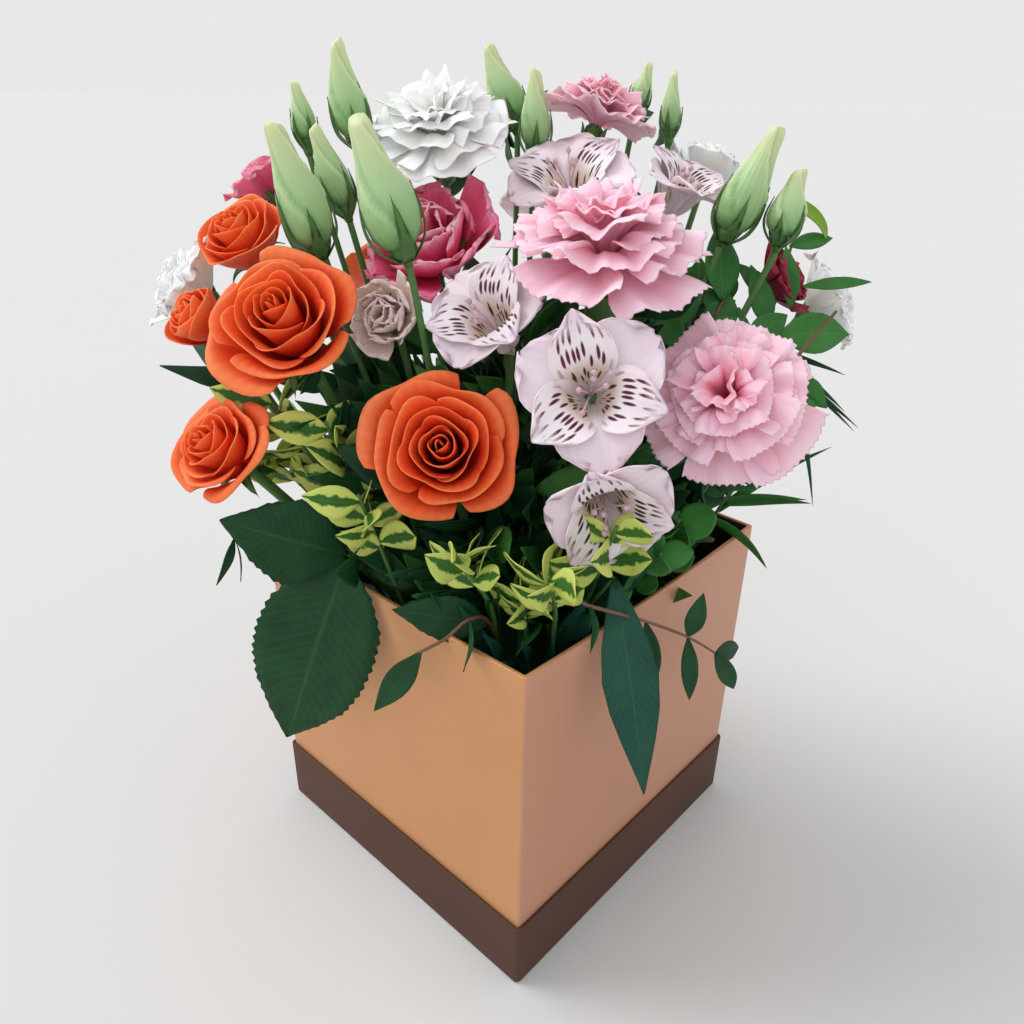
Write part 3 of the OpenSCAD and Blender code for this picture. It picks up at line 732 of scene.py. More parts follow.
def budSheets(length, width, seed):
    # closed lisianthus bud: body of revolution whose five rolled petals overlap along a rising twist
    r = np.random.default_rng(seed)
    nu, nv = 60, 30
    th, v = gridOf(np.linspace(0, 2 * math.pi, nu, endpoint=False), np.linspace(0, 1, nv))
    body = np.interp(v, [0, 0.05, 0.15, 0.28, 0.42, 0.58, 0.72, 0.86, 0.95, 1.0],
                     [0.30, 0.66, 0.93, 1.0, 0.93, 0.72, 0.53, 0.41, 0.37, 0.28])
    turn = (th / (2 * math.pi) * 3 + 1.15 * v + r.uniform()) % 1
    fold = (turn - 0.5) * 0.22 * smooth(0.08, 0.5, v)
    rad = width / 2 * body * (1 + fold)
    bend = 0.05 * length * (v ** 2) * r.uniform(-1, 1)
    z = v * length + 0.03 * length * smooth(0.85, 1.0, v) * np.sin(th + r.uniform(0, 6))
    p = np.stack([rad * np.cos(th) + bend, rad * np.sin(th), z], axis=-1)
    # lighter along the proud edge of each rolled petal, and painted shade where it tucks under the next
    tone = 0.12 + 0.85 * v ** 0.8 + 0.16 * (turn > 0.86) * smooth(0.1, 0.4, v) - 0.10 * (turn < 0.12)
    low, high = p[:, :1].mean(0, keepdims=True), p[:, -1:].mean(0, keepdims=True)
    p = np.concatenate([np.broadcast_to(low, (nu, 1, 3)), p, np.broadcast_to(high, (nu, 1, 3))], axis=1)
    tone = np.concatenate([tone[:, :1], tone, tone[:, -1:]], axis=1)
    return [{"p": p, "wrap": True, "tone": np.clip(tone, 0, 1)}]


budCup = 0.006


def budSepals(length, width, seed):
    # narrow sepals that hug the bud and part from it at their tips
    r = np.random.default_rng(seed + 9)
    sheets = []
    for k in range(5):
        reach = r.uniform(0.36, 0.58)
        out = width / 2
        tip = np.interp(reach, [0.3, 0.6], [1.04, 0.76]) * out + 0.0006 + r.uniform(0, 0.001)
        stations = [(0.25 * out, -0.004), (0.85 * out + 0.0005, 0.06 * length),
                    (1.05 * out + 0.0005, 0.30 * length * reach / 0.6), (tip, reach * length)]
        sheet = petal(width * 0.13, stations, "sepal", cup=-0.2, nu=5, nv=12)
        sheet["tone"] = 0.4 + 0.2 * r.uniform()
        sheets.append(about(sheet, 72 * k + r.uniform(-12, 12)))
    cup = [(0, 0, -budCup), (0, 0, -0.004), (0, 0, -0.001), (0, 0, 0.0015)]
    sheets.append(tube(cup, [0.0014, 0.0020, width * 0.27, width * 0.26], 12, 0.4))
    return sheets


leafShapes = {
    "broad": [0.04, 0.62, 0.94, 1.0, 0.96, 0.80, 0.46, 0.02],
    "ovate": [0.04, 0.50, 0.90, 1.0, 0.90, 0.66, 0.34, 0.02],
    "lance": [0.08, 0.50, 0.85, 1.0, 0.88, 0.62, 0.32, 0.02],
    "ellipse": [0.06, 0.55, 0.90, 1.0, 0.95, 0.75, 0.42, 0.03],
    "round": [0.08, 0.70, 0.97, 1.0, 0.98, 0.85, 0.55, 0.06],
    "blade": [0.6, 0.9, 1.0, 0.9, 0.75, 0.55, 0.3, 0.02],
}


leafLook = {"thick": 0.00035, "wave": 0.03}


def leaf(a, b, width, roll=0.0, arch=0.10, fold=0.22, shape="ovate", teeth=0, twist=0.0, tone=0.5, kind=0,
         nu=9, nv=17, towards=None):
    # leaf from a to b: half width by its outline (cut by teeth), folded up along the midrib, arched along
    # its length by a half sine, its edge waved, its upper side turned towards a direction if one is given
    a, b = np.asarray(a, float), np.asarray(b, float)
    length = np.linalg.norm(b - a)
    turn = turnTo(b - a)
    x, side, up = turn[:, 2], turn[:, 1], turn[:, 0]
    if up[2] < 0:
        up, side = -up, -side
    if towards is not None:
        up = unit(np.asarray(towards, float) - x * np.dot(towards, x))
        side = np.cross(up, x)
    u, v = gridOf(np.linspace(-1, 1, nu), np.linspace(0, 1, nv))
    outline = leafShapes[shape]
    half = width / 2 * np.interp(v, np.linspace(0, 1, len(outline)), outline)
    if teeth:
        half = half * (1 - 0.10 * ((v * teeth) % 1) * (np.abs(u) > 0.9))
    angle = np.radians(roll + twist * v)
    lift = fold * np.abs(u) ** 1.3 * half
    lift = lift + leafLook["wave"] * width * np.sin(9 * v + 2 * np.sign(u)) * np.abs(u) ** 2
    bow = arch * length * np.sin(math.pi * v * 0.5) * (1 - v) * 1.6 - arch * length * 0.25 * v ** 3
    sideways = u * half
    p = (a + x * (length * v[..., None]) + side * (sideways * np.cos(angle) - lift * np.sin(angle))[..., None]
         + up * (sideways * np.sin(angle) + lift * np.cos(angle) + bow)[..., None])
    sheet = shell({"p": p, "tone": tone}, leafLook["thick"])
    sheet["kind"] = kind
    return sheet


def mm(*numbers):
    # millimetres to metres: one point, or the rows of a twig's route
    return np.array(numbers, float) / 1000


def tuft(a, b, count, length, width, seed, **look):
    # leaves spiralling round a twig from a to b
    r = np.random.default_rng(seed)
    sheets = []
    for i in range(count):
        at = a + (b - a) * i / count
        share = r.uniform(0.7, 1.2)
        tip = at + length * share * facing(i * golden + r.uniform(-25, 25), r.uniform(38, 85))
        sheets.append(leaf(at, tip, width * share, roll=r.uniform(-40, 40), twist=r.uniform(-30, 30),
                           tone=r.uniform(0.2, 0.8), **look))
    return sheets


# spread: a stem enters the foam this far out, as a share of how far out its bloom is; then its depth in
# the foam, and the radius of each kind's stem
stemRule = {"spread": 0.4, "inFoam": 0.040, "rose": 0.0020, "carnation": 0.0018, "alstroemeria": 0.0017,
            "lisianthus": 0.0014}
foamTop = boxOf("foam_block")[1][2]


def bodyOf(node):
    for name, nodes in frame["record"]["behaviour"]["bodies"].items():
        if node in nodes:
            return name


def pointsOf(node):
    mesh = frame["nodes"][node].data
    p = np.empty(len(mesh.vertices) * 3, np.float32)
    mesh.vertices.foreach_get("co", p)
    return p.reshape(-1, 3).astype(float)


def heartOf(points, axis, drop):
    # where a turned solid of revolution has its own origin: mid-way across, and drop above its foot
    turn = turnTo(axis)
    q = points @ turn
    middle = (q.min(0) + q.max(0)) / 2
    middle[2] = q[:, 2].min() + drop
    return turn @ middle


def stemTube(heart, axis, drop, radius, swing=0.0):
    # straight from the foam to just under the bloom, then one soft bend into the calyx
    neck = heart - drop * axis
    a = math.radians(swing)
    x, y = stemRule["spread"] * heart[0], stemRule["spread"] * heart[1]
    entry = np.array([x * math.cos(a) - y * math.sin(a), x * math.sin(a) + y * math.cos(a), foamTop])
    way = unit(neck - entry)
    foot = entry - stemRule["inFoam"] * way
    path = np.concatenate([[foot, entry], curve([entry + 0.3 * (neck - entry), entry + 0.75 * (neck - entry),
                                                 neck - 0.003 * way, neck + 0.004 * axis], 12)])
    return tube(path, radius)


blooms = {
    # node: kind, width, bearing and tilt faced, swing of its stem, spin, growth over the CAD width, openness
    "rose_front": ("rose", 0.048, -138, 60, 0, 40, 1.07, 1.0),
    "rose_upper_left": ("rose", 0.045, -145, 48, 0, 110, 1.12, 1.0),
    "rose_far_left": ("rose", 0.034, -170, 36, 0, 0, 1.0, 0.75),
    "rose_bud_left": ("rose", 0.024, 168, 50, 0, 60, 1.0, 0.35),
    "rose_low_left": ("rose", 0.034, -171, 46, 20, 20, 1.15, 1.15),
    "rose_back": ("rose", 0.042, 80, 50, 0, 0, 1.1, 1.0),
    "carnation_top": ("carnation", 0.062, -150, 12, 0, 0, 1.17, 1),
    "carnation_right": ("carnation", 0.054, -162, 54, 18, 0, 1.1, 1),
    "carnation_back": ("carnation", 0.038, -10, 18, 0, 0, 1.28, 1),
    "alstroemeria_front": ("alstroemeria", 0.044, -144, 66, 0, 42, 1.2, 1.0),
    "alstroemeria_low": ("alstroemeria", 0.034, -132, 100, 14, 50, 1.28, 0.85),
    "alstroemeria_left": ("alstroemeria", 0.034, -171, 44, 0, 30, 1.28, 0.85),
    "alstroemeria_top": ("alstroemeria", 0.038, -159, 26, 0, 0, 1.4, 1.0),
    "alstroemeria_right": ("alstroemeria", 0.032, -85, 28, 0, 45, 1.3, 1.0),
    "alstroemeria_back": ("alstroemeria", 0.042, 35, 50, 0, 15, 1.2, 1.0),
    "lisianthus_white_top": ("frilled", 0.048, -149, 26, 0, 0, 1.18, 1.0),
    "lisianthus_white_left": ("white", 0.032, 146, 54, 0, 0, 1.3, 1.0),
    "lisianthus_white_right": ("white", 0.032, -54, 62, 0, 0, 1.25, 1.0),
    "lisianthus_white_back": ("white", 0.032, -20, 24, 0, 0, 1.15, 1.0),
    "lisianthus_pink": ("pink", 0.046, -156, 40, 0, 0, 1.25, 1.0),
    "lisianthus_pink_back": ("pink", 0.034, 120, 30, 0, 0, 0.95, 1.0),
    "lisianthus_cream": ("cream", 0.024, -152, 66, 0, 0, 1.25, 0.6),
    "lisianthus_crimson": ("crimson", 0.028, -74, 58, 0, 0, 1.15, 1.0),
}
bloomKinds = {
    # kind: material, slot, stem, drop to the foot of the petals and height of the calyx under it, the last
    # two as shares of the width
    "rose": (orangePetal, "orange_petal", "rose", 0.36, 0.16),
    "carnation": (carnationPetal, "carnation_petal", "carnation", 0.12, 0.40),
    "alstroemeria": (alstroemeriaPetal, "alstroemeria_petal", "alstroemeria", 0.40, 0.14),
    "white": (whitePetal, "white_petal", "lisianthus", 0.30, 0.14),
    "frilled": (whitePetal, "white_petal", "lisianthus", 0.30, 0.14),
    "pink": (pinkPetal, "pink_petal", "lisianthus", 0.30, 0.14),
    "cream": (creamPetal, "cream_petal", "lisianthus", 0.30, 0.14),
    "crimson": (crimsonPetal, "crimson_petal", "lisianthus", 0.30, 0.14),
}
# where the camera stands, and the middle, axis and half width of every bloom and bud built so far
eye = np.array([-0.2379, -0.2162, 0.3218])
faces = []


def hides(at, tip):
    # true where a leaf would stand before a bloom or bud: from 12 mm behind its middle to 70 mm ahead, and
    # less than its half width and 3 mm off the line from there to the camera or along its own axis
    for share in (0.3, 0.65, 1.0):
        point = at + share * (tip - at)
        for centre, axis, half in faces:
            for way in (unit(eye - centre), axis):
                ahead = (point - centre) @ way
                if -0.012 < ahead < 0.07 and np.linalg.norm(point - centre - ahead * way) < half + 0.003:
                    return True
    return False


pulled = ["rose_front", "rose_low_left", "carnation_right", "lisianthus_white_left", "bud_tall_left",
          "bud_right"]
stemSheets = {}


def addStem(node, group, sheets):
    # stems of one kind are one piece, except those that draw out of the foam
    key = node + "_stem" if node in pulled else group + "_stems"
    stemSheets.setdefault(key, []).extend(sheets)


def petalsOf(kind, w, open_, seed):
    # white, pink, cream and crimson lisianthus share one maker
    if kind == "rose":
        return roseSheets(w, open_, seed)
    if kind == "alstroemeria":
        return alstroemeriaSheets(w, seed, open_)
    if kind in fanLook:
        return carnationSheets(w, seed, **fanLook[kind])
    return ruffledSheets(w, seed, open_)


def buildBloom(index, node):
    kind, width, bearing, tilt, swing, spin, growth, open_ = blooms[node]
    material, slot, stem, drop, cup = bloomKinds[kind]
    drop *= width
    axis = facing(bearing, tilt)
    heart = heartOf(pointsOf(node), axis, drop)
    turn = turnTo(axis, spin)
    w = width * growth
    petals = petalsOf(kind, w, open_, index)
    # grown or shrunk so that all but its furthest 1.5% of points lie within the width
    spans = np.concatenate([np.hypot(s["p"][..., 0], s["p"][..., 1]).ravel() for s in petals])
    widest = np.percentile(spans, 98.5)
    for s in petals:
        s["p"] *= w / 2 / widest
    petals = placed([shell(s) for s in petals], heart, turn)
    addPiece(node + "_petals", petals, material, bodyOf(node), replaces=(node,))
    if kind == "alstroemeria":
        stamens = placed(stamenSheets(w, index), heart, turn)
        addPiece(node + "_stamens", stamens, stamenPale, bodyOf(node))
    green = placed(calyxFor(kind, width, drop, cup * width), heart, turn)
    green.append(stemTube(heart, axis, drop + cup * width, stemRule[stem], swing))
    addStem(node, stem, green)
    faces.append((heart, axis, 0.52 * w))
    return heart


calyxShapes = {
    # kind: half widths of cup and sepal, then the sepal's bend, rows and path, in shares of the bloom's width
    "rose": (0.15, 0.07, 0.3, 10, ((0.10, -0.04), (0.20, 0.02), (0.32, -0.02), (0.42, -0.12))),
    "carnation": (0.10, 0.06, -0.3, 7, ((0.09, -0.10), (0.115, -0.02), (0.15, 0.03))),
    "alstroemeria": (0.08, 0, 0, 0, ()),
    "lisianthus": (0.10, 0.035, -0.2, 9, ((0.09, -0.06), (0.17, 0.08), (0.30, 0.22), (0.42, 0.26))),
}


def calyxFor(kind, width, drop, cup):
    # green cup under the petals, from the stem's width at its foot to its own at the petals, with five
    # sepals; an alstroemeria has none
    wide, sepal, bend, rows, path = calyxShapes.get(kind, calyxShapes["lisianthus"])
    foot = -drop - cup
    z = np.array([foot - 0.001, foot, foot + 0.25 * cup, foot + 0.7 * cup, foot + cup, foot + 1.1 * cup])
    wide *= width
    sheets = [tube(np.stack([0 * z, 0 * z, z], axis=1), [0.0008, 0.0020, wide * 0.8, wide, wide, wide * 0.6],
                   12, 0.45)]
    for k in range(5 if path else 0):
        stations = [(out * width, -drop + up * width) for out, up in path]
        sheet = petal(sepal * width, stations, "sepal", cup=bend, nu=5, nv=rows)
        sheet["tone"] = 0.45
        sheets.append(shell(about(sheet, 72 * k + 15)))
    return sheets


print("blooms")
hearts = {}
for index, node in enumerate(blooms):
    hearts[node] = buildBloom(index, node)


buds = {
    # node: length, width, bearing and lean of its axis, which half of the node's box, seed
    "bud_tall_left": [(0.033, 0.014, 142, 12, None, 1)],
    "buds_small_left": [(0.020, 0.009, 147, 6, ("x", 1), 2), (0.019, 0.010, 140, 12, ("x", 0), 3)],
    "bud_pale_left": [(0.042, 0.017, 146, 15, None, 4)],
    "bud_mid_left": [(0.029, 0.012, 144, 18, None, 5)],
    "bud_front": [(0.041, 0.018, 142, 18, None, 6)],
    "bud_top": [(0.029, 0.014, 136, 20, None, 7)],
    "bud_top_right": [(0.029, 0.012, -37, 2, None, 8)],
    "buds_small_right": [(0.018, 0.009, -61, 12, ("y", 1), 9), (0.022, 0.008, 86, 1, ("y", 0), 10)],
    "bud_right": [(0.038, 0.016, -66, 20, None, 11)],
    "bud_far_right": [(0.023, 0.013, -71, 7, None, 12)],
}


def buildBuds(node):
    closed = []
    for length, width, bearing, lean, half, seed in buds[node]:
        axis = facing(bearing, lean)
        points = pointsOf(node)
        if half:
            column = "xyz".index(half[0])
            middle = (points[:, column].min() + points[:, column].max()) / 2
            points = points[(points[:, column] > middle) == bool(half[1])]
        heart = heartOf(points, axis, 0.0)
        turn = turnTo(axis, 30 * seed)
        closed += placed(budSheets(length, width * 1.06, seed), heart, turn)
        green = [s if s.get("wrap") else shell(s) for s in budSepals(length, width, seed)]
        green = placed(green, heart, turn)
        faces.append((heart + 0.5 * length * axis, axis, 0.45 * length))
        green.append(stemTube(heart, axis, budCup, stemRule["lisianthus"] * 0.9))
        addStem(node, "bud", green)
    addPiece(node + "_petals", closed, budGreen, bodyOf(node), replaces=(node,))


print("buds")
for node in buds:
    buildBuds(node)


def stemLeaves(key, seed, count):
    # leaves on the bare length of the fixed stems, which fill the bunch between foam and blooms
    r = np.random.default_rng(seed)
    sheets = []
    # the long tubes are the stems themselves
    stalks = [s for s in stemSheets[key] if s["p"].shape[1] > 14 and s.get("wrap") and "across" not in s]
    for s in stalks:
        line = s["p"].mean(0)
        for _ in range(count):
            k = r.integers(4, 13)
            at = line[k]
            out = math.degrees(math.atan2(at[1], at[0])) + r.uniform(-100, 100)
            reach = r.uniform(0.022, 0.038)
            tip = at + reach * facing(out, r.uniform(35, 95))
            if hides(at, tip):
                continue
            sheets.append(leaf(at, tip, reach * r.uniform(0.26, 0.38), roll=r.uniform(-30, 30), arch=0.12,
                               shape="lance", tone=r.uniform(0.2, 0.8), kind=1))
    return sheets


# piece: leaves on each stem, seed
stemPieces = {"rose_stems": (4, 61), "carnation_stems": (3, 62), "alstroemeria_stems": (4, 63),
              "lisianthus_stems": (4, 64), "bud_stems": (3, 65)}

print("stems")
for key in list(stemSheets):
    leaves, seed = stemPieces.get(key, (0, 0))
    sheets = stemSheets[key] + (stemLeaves(key, seed, leaves) if leaves else [])
    addPiece(key.replace("_stem", "_stalk"), sheets, greenStem, bodyOf(key), replaces=(key,),
             more=(darkLeaf,))


def addGreen(name, node, sheets, material, slot, *more):
    # every spray rides on the arrangement
    addPiece(name, sheets, material, "arrangement", (node,) if node else (), more)


def onward(way, share):
    # point at that share of the last stretch of a twig
    return way[-2] * (1 - share) + way[-1] * share


def twigTube(way, radius):
    # twig tapering to 0.6 of its radius, straight in the foam and smooth beyond it
    path = np.concatenate([way[:1], curve(way[1:], 8 * len(way))])
    sheet = tube(path, np.linspace(radius, radius * 0.6, len(path)), 7)
    sheet["kind"] = 1
    return sheet


# the foam's top in millimetres, and the direction that the large leaves face
top = foamTop * 1000
front = (-0.66, -0.60, 0.45)
print("greens")


def roseLeaves():
    way = mm((-38, 12, top - 30), (-46, 14, top + 1), (-64, 14, 158), (-80, 10, 166))
    sheets = [twigTube(way, 0.0011)]
    sheets.append(leaf(way[3], mm(-117, 31, 187), 0.033, 0, 0.06, 0.14, "ovate", 14, tone=0.30, nv=33,
                       towards=front))
    sheets.append(leaf(way[3], mm(-108, 22, 88), 0.048, 0, 0.08, 0.10, "broad", 22, tone=0.30, nv=45,
                       towards=front))
    sheets.append(leaf(onward(way, 0.6), mm(-96, -6, 172), 0.018, 10, 0.1, 0.2, "ovate", 12, tone=0.5))
    for a, b, width in (((-111, 34, 177), (-121, 33, 161), 4), ((-111, 34, 176), (-115, 26, 163), 3),
                        ((-67, 36, 231), (-77, 35, 222), 6), ((-67, 21, 223), (-77, 16, 210), 7),
                        ((-86, 25, 210), (-83, 12, 201), 7), ((-91, 71, 227), (-87, 60, 223), 5),
                        ((-86, 56, 225), (-90, 54, 215), 5), ((-90, 83, 237), (-85, 71, 232), 5)):
        sheets.append(leaf(mm(*a), mm(*b), width / 1000, 0, 0.08, 0.16, "ovate", tone=0.4))
    addGreen("roseLeafSprig", "rose_leaves_left", sheets, darkLeaf, "dark_leaf", greenStem)


def rimSprigLeft():
    way = mm((-42, -34, top - 30), (-46, -38, top + 1), (-60, -44, 152), (-72, -46, 160), (-80, -42, 154),
             (-85, -31, 144))
    sheets = [twigTube(way, 0.0009)]
    sheets.append(leaf(onward(way, 0.7), mm(-97, -22, 121), 0.010, 0, 0.08, 0.2, "ovate", tone=0.3,
                       towards=front))
    sheets.append(leaf(way[2], mm(-88, -25, 162), 0.017, 0, 0.08, 0.18, "ovate", 10, tone=0.25, nv=25,
                       towards=front))
    sheets.append(leaf(way[3], mm(-84, -56, 150), 0.008, 14, 0.08, 0.18, "lance", tone=0.4))
    addGreen("rimSprigLeft", "rim_sprig_left", sheets, darkLeaf, "dark_leaf", brownTwig)


def euonymus(name, node, ways, count, seed):
    # variegated sprays: small oval leaves round the upper half of each twig
    sheets = []
    for k, way in enumerate(ways):
        sheets.append(twigTube(way, 0.0011))
        start = 0.75 if node == "euonymus_front" and k == 0 else 0.25
        sheets += tuft(onward(way, start), onward(way, 0.99), count, 0.020, 0.0115, seed + k, shape="ellipse",
                       arch=0.16, fold=0.14)
    addGreen(name, node, sheets, variegatedLeaf, "variegated_leaf", greenStem)


longLook = [
    # dark blades in the front corner, above and just over the rim: foot, tip and width in mm
    ((-52, -52, 128), (-66, -66, 158), 7), ((-48, -56, 128), (-56, -71, 160), 8),
    ((-56, -46, 128), (-72, -54, 158), 8), ((-42, -56, 130), (-40, -72, 166), 8),
    ((-58, -40, 130), (-70, -40, 162), 8), ((-46, -46, 130), (-58, -58, 168), 7),
    ((-34, -56, 130), (-26, -72, 160), 8), ((-50, -50, 126), (-69, -60, 148), 6),
    ((-30, -52, 140), (-24, -76, 176), 10), ((-24, -58, 140), (-10, -78, 170), 9),
    ((-38, -58, 140), (-44, -78, 164), 9), ((-60, -30, 140), (-78, -34, 168), 8),
    ((-20, -56, 150), (-30, -84, 178), 10), ((-12, -56, 140), (4, -78, 166), 9),
    ((-44, -60, 130), (-60, -70, 146), 6),
]


def longLeaf():
    way = mm((-24, -50, top - 30), (-26, -54, top + 1), (-31, -68, 155), (-34, -82, 157))
    sheets = [twigTube(way, 0.0010), twigTube(mm((-26, -54, top), (-28, -62, 150), (-31, -76, 172)), 0.0009)]
    sheets.append(leaf(mm(-31, -76, 172), mm(-41, -104, 96), 0.020, 0, 0.10, 0.12, "lance", tone=0.30, nv=29,
                       towards=front))
    for k, (a, b, width) in enumerate(longLook):
        sheets.append(leaf(mm(*a), mm(*b), width / 1000, 20 - 13 * (k % 4), 0.12, 0.15, "lance",
                           tone=0.2 + 0.07 * (k % 5)))
    addGreen("longLeafSprig", "long_leaf_front", sheets, blueLeaf, "dark_leaf", greenStem)


def rimSprigRight():
    way = mm((-8, -44, top - 30), (-12, -50, top + 1), (-44, -70, 166), (-50, -80, 171), (-24, -86, 155),
             (-1, -91, 139), (13, -96, 127))
    sheets = [twigTube(way, 0.0008)]
    rows = [(6, (30, -98, 122), 9), (6, (26, -101, 104), 9), (5, (-2, -96, 112), 8), (4, (-22, -92, 130), 8),
            (5, (5, -92, 156), 9)]
    for k, (at, tip, width) in enumerate(rows):
        sheets.append(leaf(way[at], mm(*tip), width / 1200, 0, 0.08, 0.2, "ellipse", tone=0.25 + 0.05 * k,
                           towards=front))
    sheets.append(leaf(way[3], mm(-58, -88, 160), 0.007, 10, 0.10, 0.25, "lance", tone=0.5))
    addGreen("rimSprigRight", "rim_sprig_right", sheets, darkLeaf, "dark_leaf", brownTwig)


ruscusLook = [
    # leaf foot, tip and width in mm
    ((56, -56, 250), (68, -44, 276), 12), ((64, -73, 241), (68, -60, 263), 8),
    ((57, -63, 240), (58, -45, 256), 9), ((77, -75, 247), (85, -65, 269), 6),
    ((82, -75, 255), (108, -93, 256), 4), ((62, -78, 240), (89, -95, 239), 13),
    ((52, -71, 238), (68, -78, 247), 9), ((90, -64, 268), (105, -75, 271), 6),
    ((50, -52, 239), (63, -58, 250), 9), ((55, -73, 235), (48, -58, 246), 9),
    ((49, -94, 205), (66, -95, 218), 9), ((33, -87, 198), (41, -95, 196), 7),
    ((74, -67, 250), (72, -52, 262), 7), ((48, -46, 240), (52, -36, 262), 10),
    ((44, -48, 232), (38, -34, 250), 10), ((60, -60, 226), (74, -52, 238), 10),
    ((70, -56, 230), (86, -48, 242), 11), ((52, -50, 220), (60, -32, 236), 11),
    ((58, -44, 238), (74, -34, 262), 11), ((54, -38, 246), (60, -22, 268), 10),
    ((66, -52, 246), (80, -40, 262), 10), ((46, -40, 228), (42, -22, 248), 10),
    ((48, -62, 214), (62, -62, 232), 9), ((40, -52, 206), (52, -70, 220), 9),
]


def ruscus():
    ways = [mm((44, -44, top - 30), (48, -50, top + 1), (56, -84, 222), (74, -94, 250)),
            mm((44, -36, top), (48, -44, 190), (52, -54, 236), (58, -56, 252)),
            mm((50, -38, top), (56, -54, 190), (62, -68, 232), (66, -74, 246)),
            mm((54, -36, top), (64, -52, 200), (78, -66, 244), (92, -64, 268))]
    sheets = [twigTube(way, 0.0010) for way in ways]
    for k, (a, b, width) in enumerate(ruscusLook):
        sheets.append(leaf(mm(*a), mm(*b), width / 820, 14 - 9 * (k % 4), 0.08, 0.12, "ellipse",
                           tone=0.25 + 0.07 * (k % 6),
                           towards=front))
    for a, b in (((62, -88, 226), (70, -99, 214)), ((58, -86, 222), (50, -98, 214))):
        sheets.append(leaf(mm(*a), mm(*b), 0.009, 0, 0.08, 0.12, "ellipse", tone=0.4))
    sheets.append(leaf(mm(86, -62, 286), mm(106, -74, 268), 0.005, 0, 0.35, 0.3, "blade", tone=0.5, kind=2,
                       towards=front))
    addGreen("ruscusSprig", "ruscus_right", sheets, greenLeaf, "green_leaf", brownTwig, limeLeaf)


def boxwood():
    ways = [mm((24, -46, top - 30), (25, -50, top + 1), (21, -72, 170)),
            mm((18, -44, top - 10), (18, -48, top + 1), (8, -66, 150), (2, -80, 184)),
            mm((30, -46, top - 10), (31, -50, top + 1), (32, -64, 160), (22, -84, 206)),
            mm((36, -44, top - 10), (37, -48, top + 1), (44, -62, 165), (42, -84, 200)),
            mm((10, -44, top - 10), (9, -48, top + 1), (-6, -64, 150), (-12, -82, 176))]
    sheets = []
    for k, way in enumerate(ways):
        sheets.append(twigTube(way, 0.0010))
        sheets += tuft(onward(way, 0.2), onward(way, 0.99), 12, 0.016, 0.012, 71 + k, shape="round", arch=0.1,
                       fold=0.2,
                       kind=2 if k in (1, 4) else 3)
    addGreen("boxwoodSprig", "boxwood_right", sheets, greenLeaf, "green_leaf", greenStem, greenLeaf, darkLeaf)


def grass():
    way = mm((58, -44, top - 30), (60, -48, top + 1), (62, -68, 170))
    sheets = [twigTube(way, 0.0011)]
    rows = [(0.8, (80, -100, 196)), (0.88, (62, -104, 178)), (0.96, (88, -84, 206)), (0.9, (76, -96, 172)),
            (0.7, (46, -98, 152))]
    for k, (at, tip) in enumerate(rows):
        sheets.append(leaf(onward(way, at), mm(*tip), 0.004, 30, 0.14, 0.3, "blade", tone=0.5 + 0.08 * k,
                           nu=5))
    high = mm((56, -40, top), (58, -50, 190), (64, -72, 236))
    sheets.append(twigTube(high, 0.0009))
    for k, tip in enumerate([(82, -108, 206), (79, -100, 226), (76, -104, 213), (88, -104, 202),
                             (66, -104, 176)]):
        sheets.append(leaf(onward(high, 0.9 + 0.03 * k), mm(*tip), 0.0032, 30, 0.22, 0.3, "blade",
                           tone=0.3 + 0.1 * k, nu=5, kind=2))
    addGreen("grassTuft", "grass_right", sheets, greenLeaf, "green_leaf", greenStem, darkLeaf)


fillLook = {"low": 46, "high": 800, "seed": 81, "under": 0.018}


def winding(k, count, low, high):
    # bearing of the k-th of count points spread evenly over a ring or disc, and its x and y
    a = k * golden
    d = low + high * math.sqrt((k + 0.5) / count)
    return a, d * math.cos(math.radians(a)), d * math.sin(math.radians(a))


def canopy(x, y):
    # height of the blooms round about: their hearts weighted by one over distance squared
    at = np.array(list(hearts.values()))
    weight = 1 / (np.hypot(at[:, 0] - x, at[:, 1] - y) ** 2 + 1e-4)
    return float((weight * at[:, 2]).sum() / weight.sum())


def filler():
    # dark leaves inside the rim, and more among the stems up to a little under the blooms
    r = np.random.default_rng(fillLook["seed"])
    sheets = []
    for k in range(fillLook["low"]):
        a, x, y = winding(k, fillLook["low"], 0.030, 0.032)
        at = np.array([x, y, r.uniform(0.124, 0.150)])
        at[:2] = np.clip(at[:2], -0.060, 0.060)
        tip = at + r.uniform(0.024, 0.036) * facing(a + r.uniform(-50, 50), r.uniform(10, 60))
        # kept inside the lining
        tip[:2] = np.clip(tip[:2], -0.071, 0.071)
        sheets.append(leaf(at, tip, 0.012, r.uniform(-40, 40), 0.12, 0.2, "ovate", 8,
                           tone=r.uniform(0.1, 0.6), nu=7, nv=13))
        root = np.array([at[0] * 0.8, at[1] * 0.8, foamTop - 0.01])
        sheets.append(twigTube(np.array([root, (root + at) / 2, at]), 0.0007))
    for k in range(fillLook["high"]):
        a, x, y = winding(k, fillLook["high"], 0.0, 0.078)
        ceiling = canopy(x * 1.15, y * 1.15) - fillLook["under"]
        z = r.uniform(0.150, max(0.155, ceiling))
        at = np.array([x * 0.75, y * 0.75, z - 0.012])
        reach = r.uniform(0.024, 0.038)
        tip = at + reach * facing(a + r.uniform(-60, 60), r.uniform(30, 85))
        if hides(at, tip):
            continue
        sheets.append(leaf(at, tip, reach * r.uniform(0.32, 0.45), r.uniform(-40, 40), 0.12, 0.2, "lance",
                           tone=r.uniform(0.1, 0.9), nu=7, nv=9, kind=0 if k % 3 else 2))
    addGreen("fillerLeaves", None, sheets, darkLeaf, "dark_leaf", greenStem, greenLeaf)


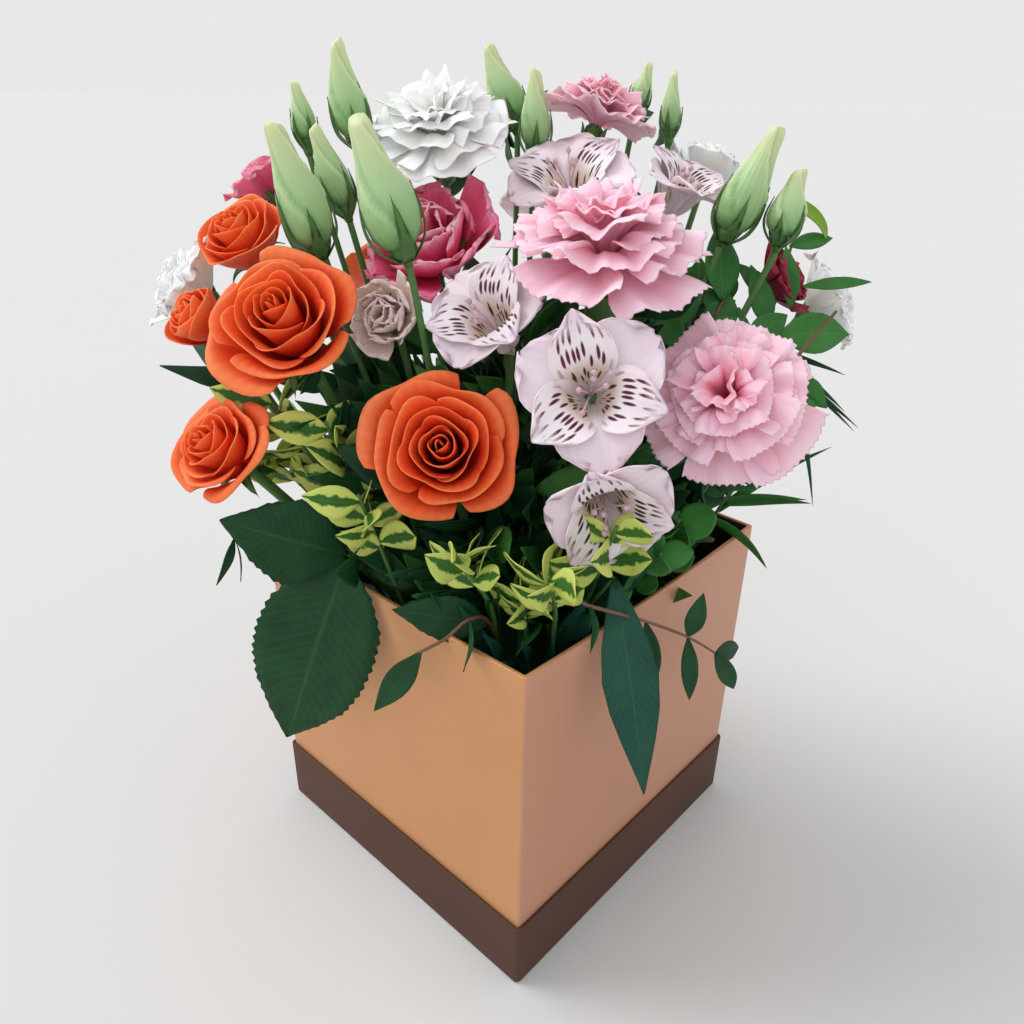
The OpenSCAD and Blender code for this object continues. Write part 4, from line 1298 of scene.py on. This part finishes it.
roseLeaves()
rimSprigLeft()
euonymus("euonymusLeft", "euonymus_left",
         [mm((-54, -1, top - 30), (-58, -1, top + 1), (-70, -2, 160), (-82, -2, 196)),
          mm((-50, 6, top - 10), (-52, 7, top + 1), (-70, 22, 178), (-86, 44, 222)),
          mm((-48, 12, top - 10), (-50, 14, top + 1), (-66, 14, 176), (-78, 20, 216)),
          mm((-46, 20, top - 10), (-50, 24, top + 1), (-72, 40, 176), (-92, 52, 204))], 10, 91)
euonymus("euonymusFront", "euonymus_front",
         [mm((-40, -46, top - 30), (-44, -50, top + 1), (-55, -56, 166)),
          mm((-44, -34, top - 10), (-48, -38, top + 1), (-62, -46, 162), (-76, -40, 186)),
          mm((-36, -50, top - 10), (-38, -54, top + 1), (-50, -66, 160), (-62, -72, 184)),
          mm((-26, -48, top - 10), (-26, -52, top + 1), (-30, -66, 162), (-38, -80, 196))], 8, 97)
longLeaf()
rimSprigRight()
ruscus()
boxwood()
grass()
filler()


studio = {"floor": (0.652, 0.652, 0.652), "across": 60.0, "lines": 9, "world": 0.807}
# name: direction of the sun, its power and the width in degrees that softens its shadows
suns = {"key": ((-0.36, 0.86, 1.0), 1.70, 36), "fill": ((-1.0, -0.35, 0.65), 0.28, 60)}
# lens in millimetres, and the directions of the picture's right and bottom edges and of its middle
cameraLook = {"lens": 29.32, "right": (0.67961, -0.73339, 0.01634), "down": (-0.32154, -0.31784, -0.89196),
              "forward": (0.65935, 0.60093, -0.45182)}


def buildStage():
    # wide level floor: one square grid
    half, lines = studio["across"] / 2, studio["lines"]
    line = np.linspace(-half, half, lines)
    x, y = gridOf(line, line)
    look = Look("paleFloor", 0.85, specular=0.1)
    low = [c * 0.985 for c in studio["floor"]]
    look.set("Base Color", look.mix(look.noise(1.5, 2), low, studio["floor"]))
    mesh = bpy.data.meshes.new("floor")
    ids = np.arange(lines * lines).reshape(lines, lines)
    quads = quadsOf(ids).reshape(-1, 4)
    mesh.from_pydata(np.stack([x, y, 0 * x], axis=-1).reshape(-1, 3).tolist(), [], quads.tolist())
    mesh.materials.append(look.material)
    floor = bpy.data.objects.new("floor", mesh)
    bpy.context.collection.objects.link(floor)


def sunLight(name, towards, power, soft):
    lamp = bpy.data.lights.new(name, "SUN")
    lamp.energy = power
    lamp.angle = math.radians(soft)
    light = bpy.data.objects.new(name, lamp)
    light.rotation_euler = Vector(towards).to_track_quat("Z", "Y").to_euler()
    bpy.context.collection.objects.link(light)


def buildCamera():
    # its axes are right, up and back: the picture's own, with the last two turned round
    right, down, forward = (cameraLook[key] for key in ("right", "down", "forward"))
    lens = bpy.data.cameras.new("camera")
    lens.lens = cameraLook["lens"]
    lens.sensor_width = 36
    lens.clip_start = 0.01
    camera = bpy.data.objects.new("camera", lens)
    axes = Matrix((right, [-c for c in down], [-c for c in forward])).transposed()
    camera.matrix_world = Matrix.Translation(eye.tolist()) @ axes.to_4x4()
    bpy.context.collection.objects.link(camera)
    bpy.context.scene.camera = camera


print("floor, lights and camera")
buildStage()
for name, (towards, power, soft) in suns.items():
    sunLight(name, towards, power, soft)
world = bpy.data.worlds.new("world")
bpy.context.scene.world = world
world.use_nodes = True
sky = world.node_tree.nodes["Background"].inputs
sky["Color"].default_value = (1, 1, 1, 1)
sky["Strength"].default_value = studio["world"]
bpy.context.scene.view_settings.view_transform = "Standard"
buildCamera()
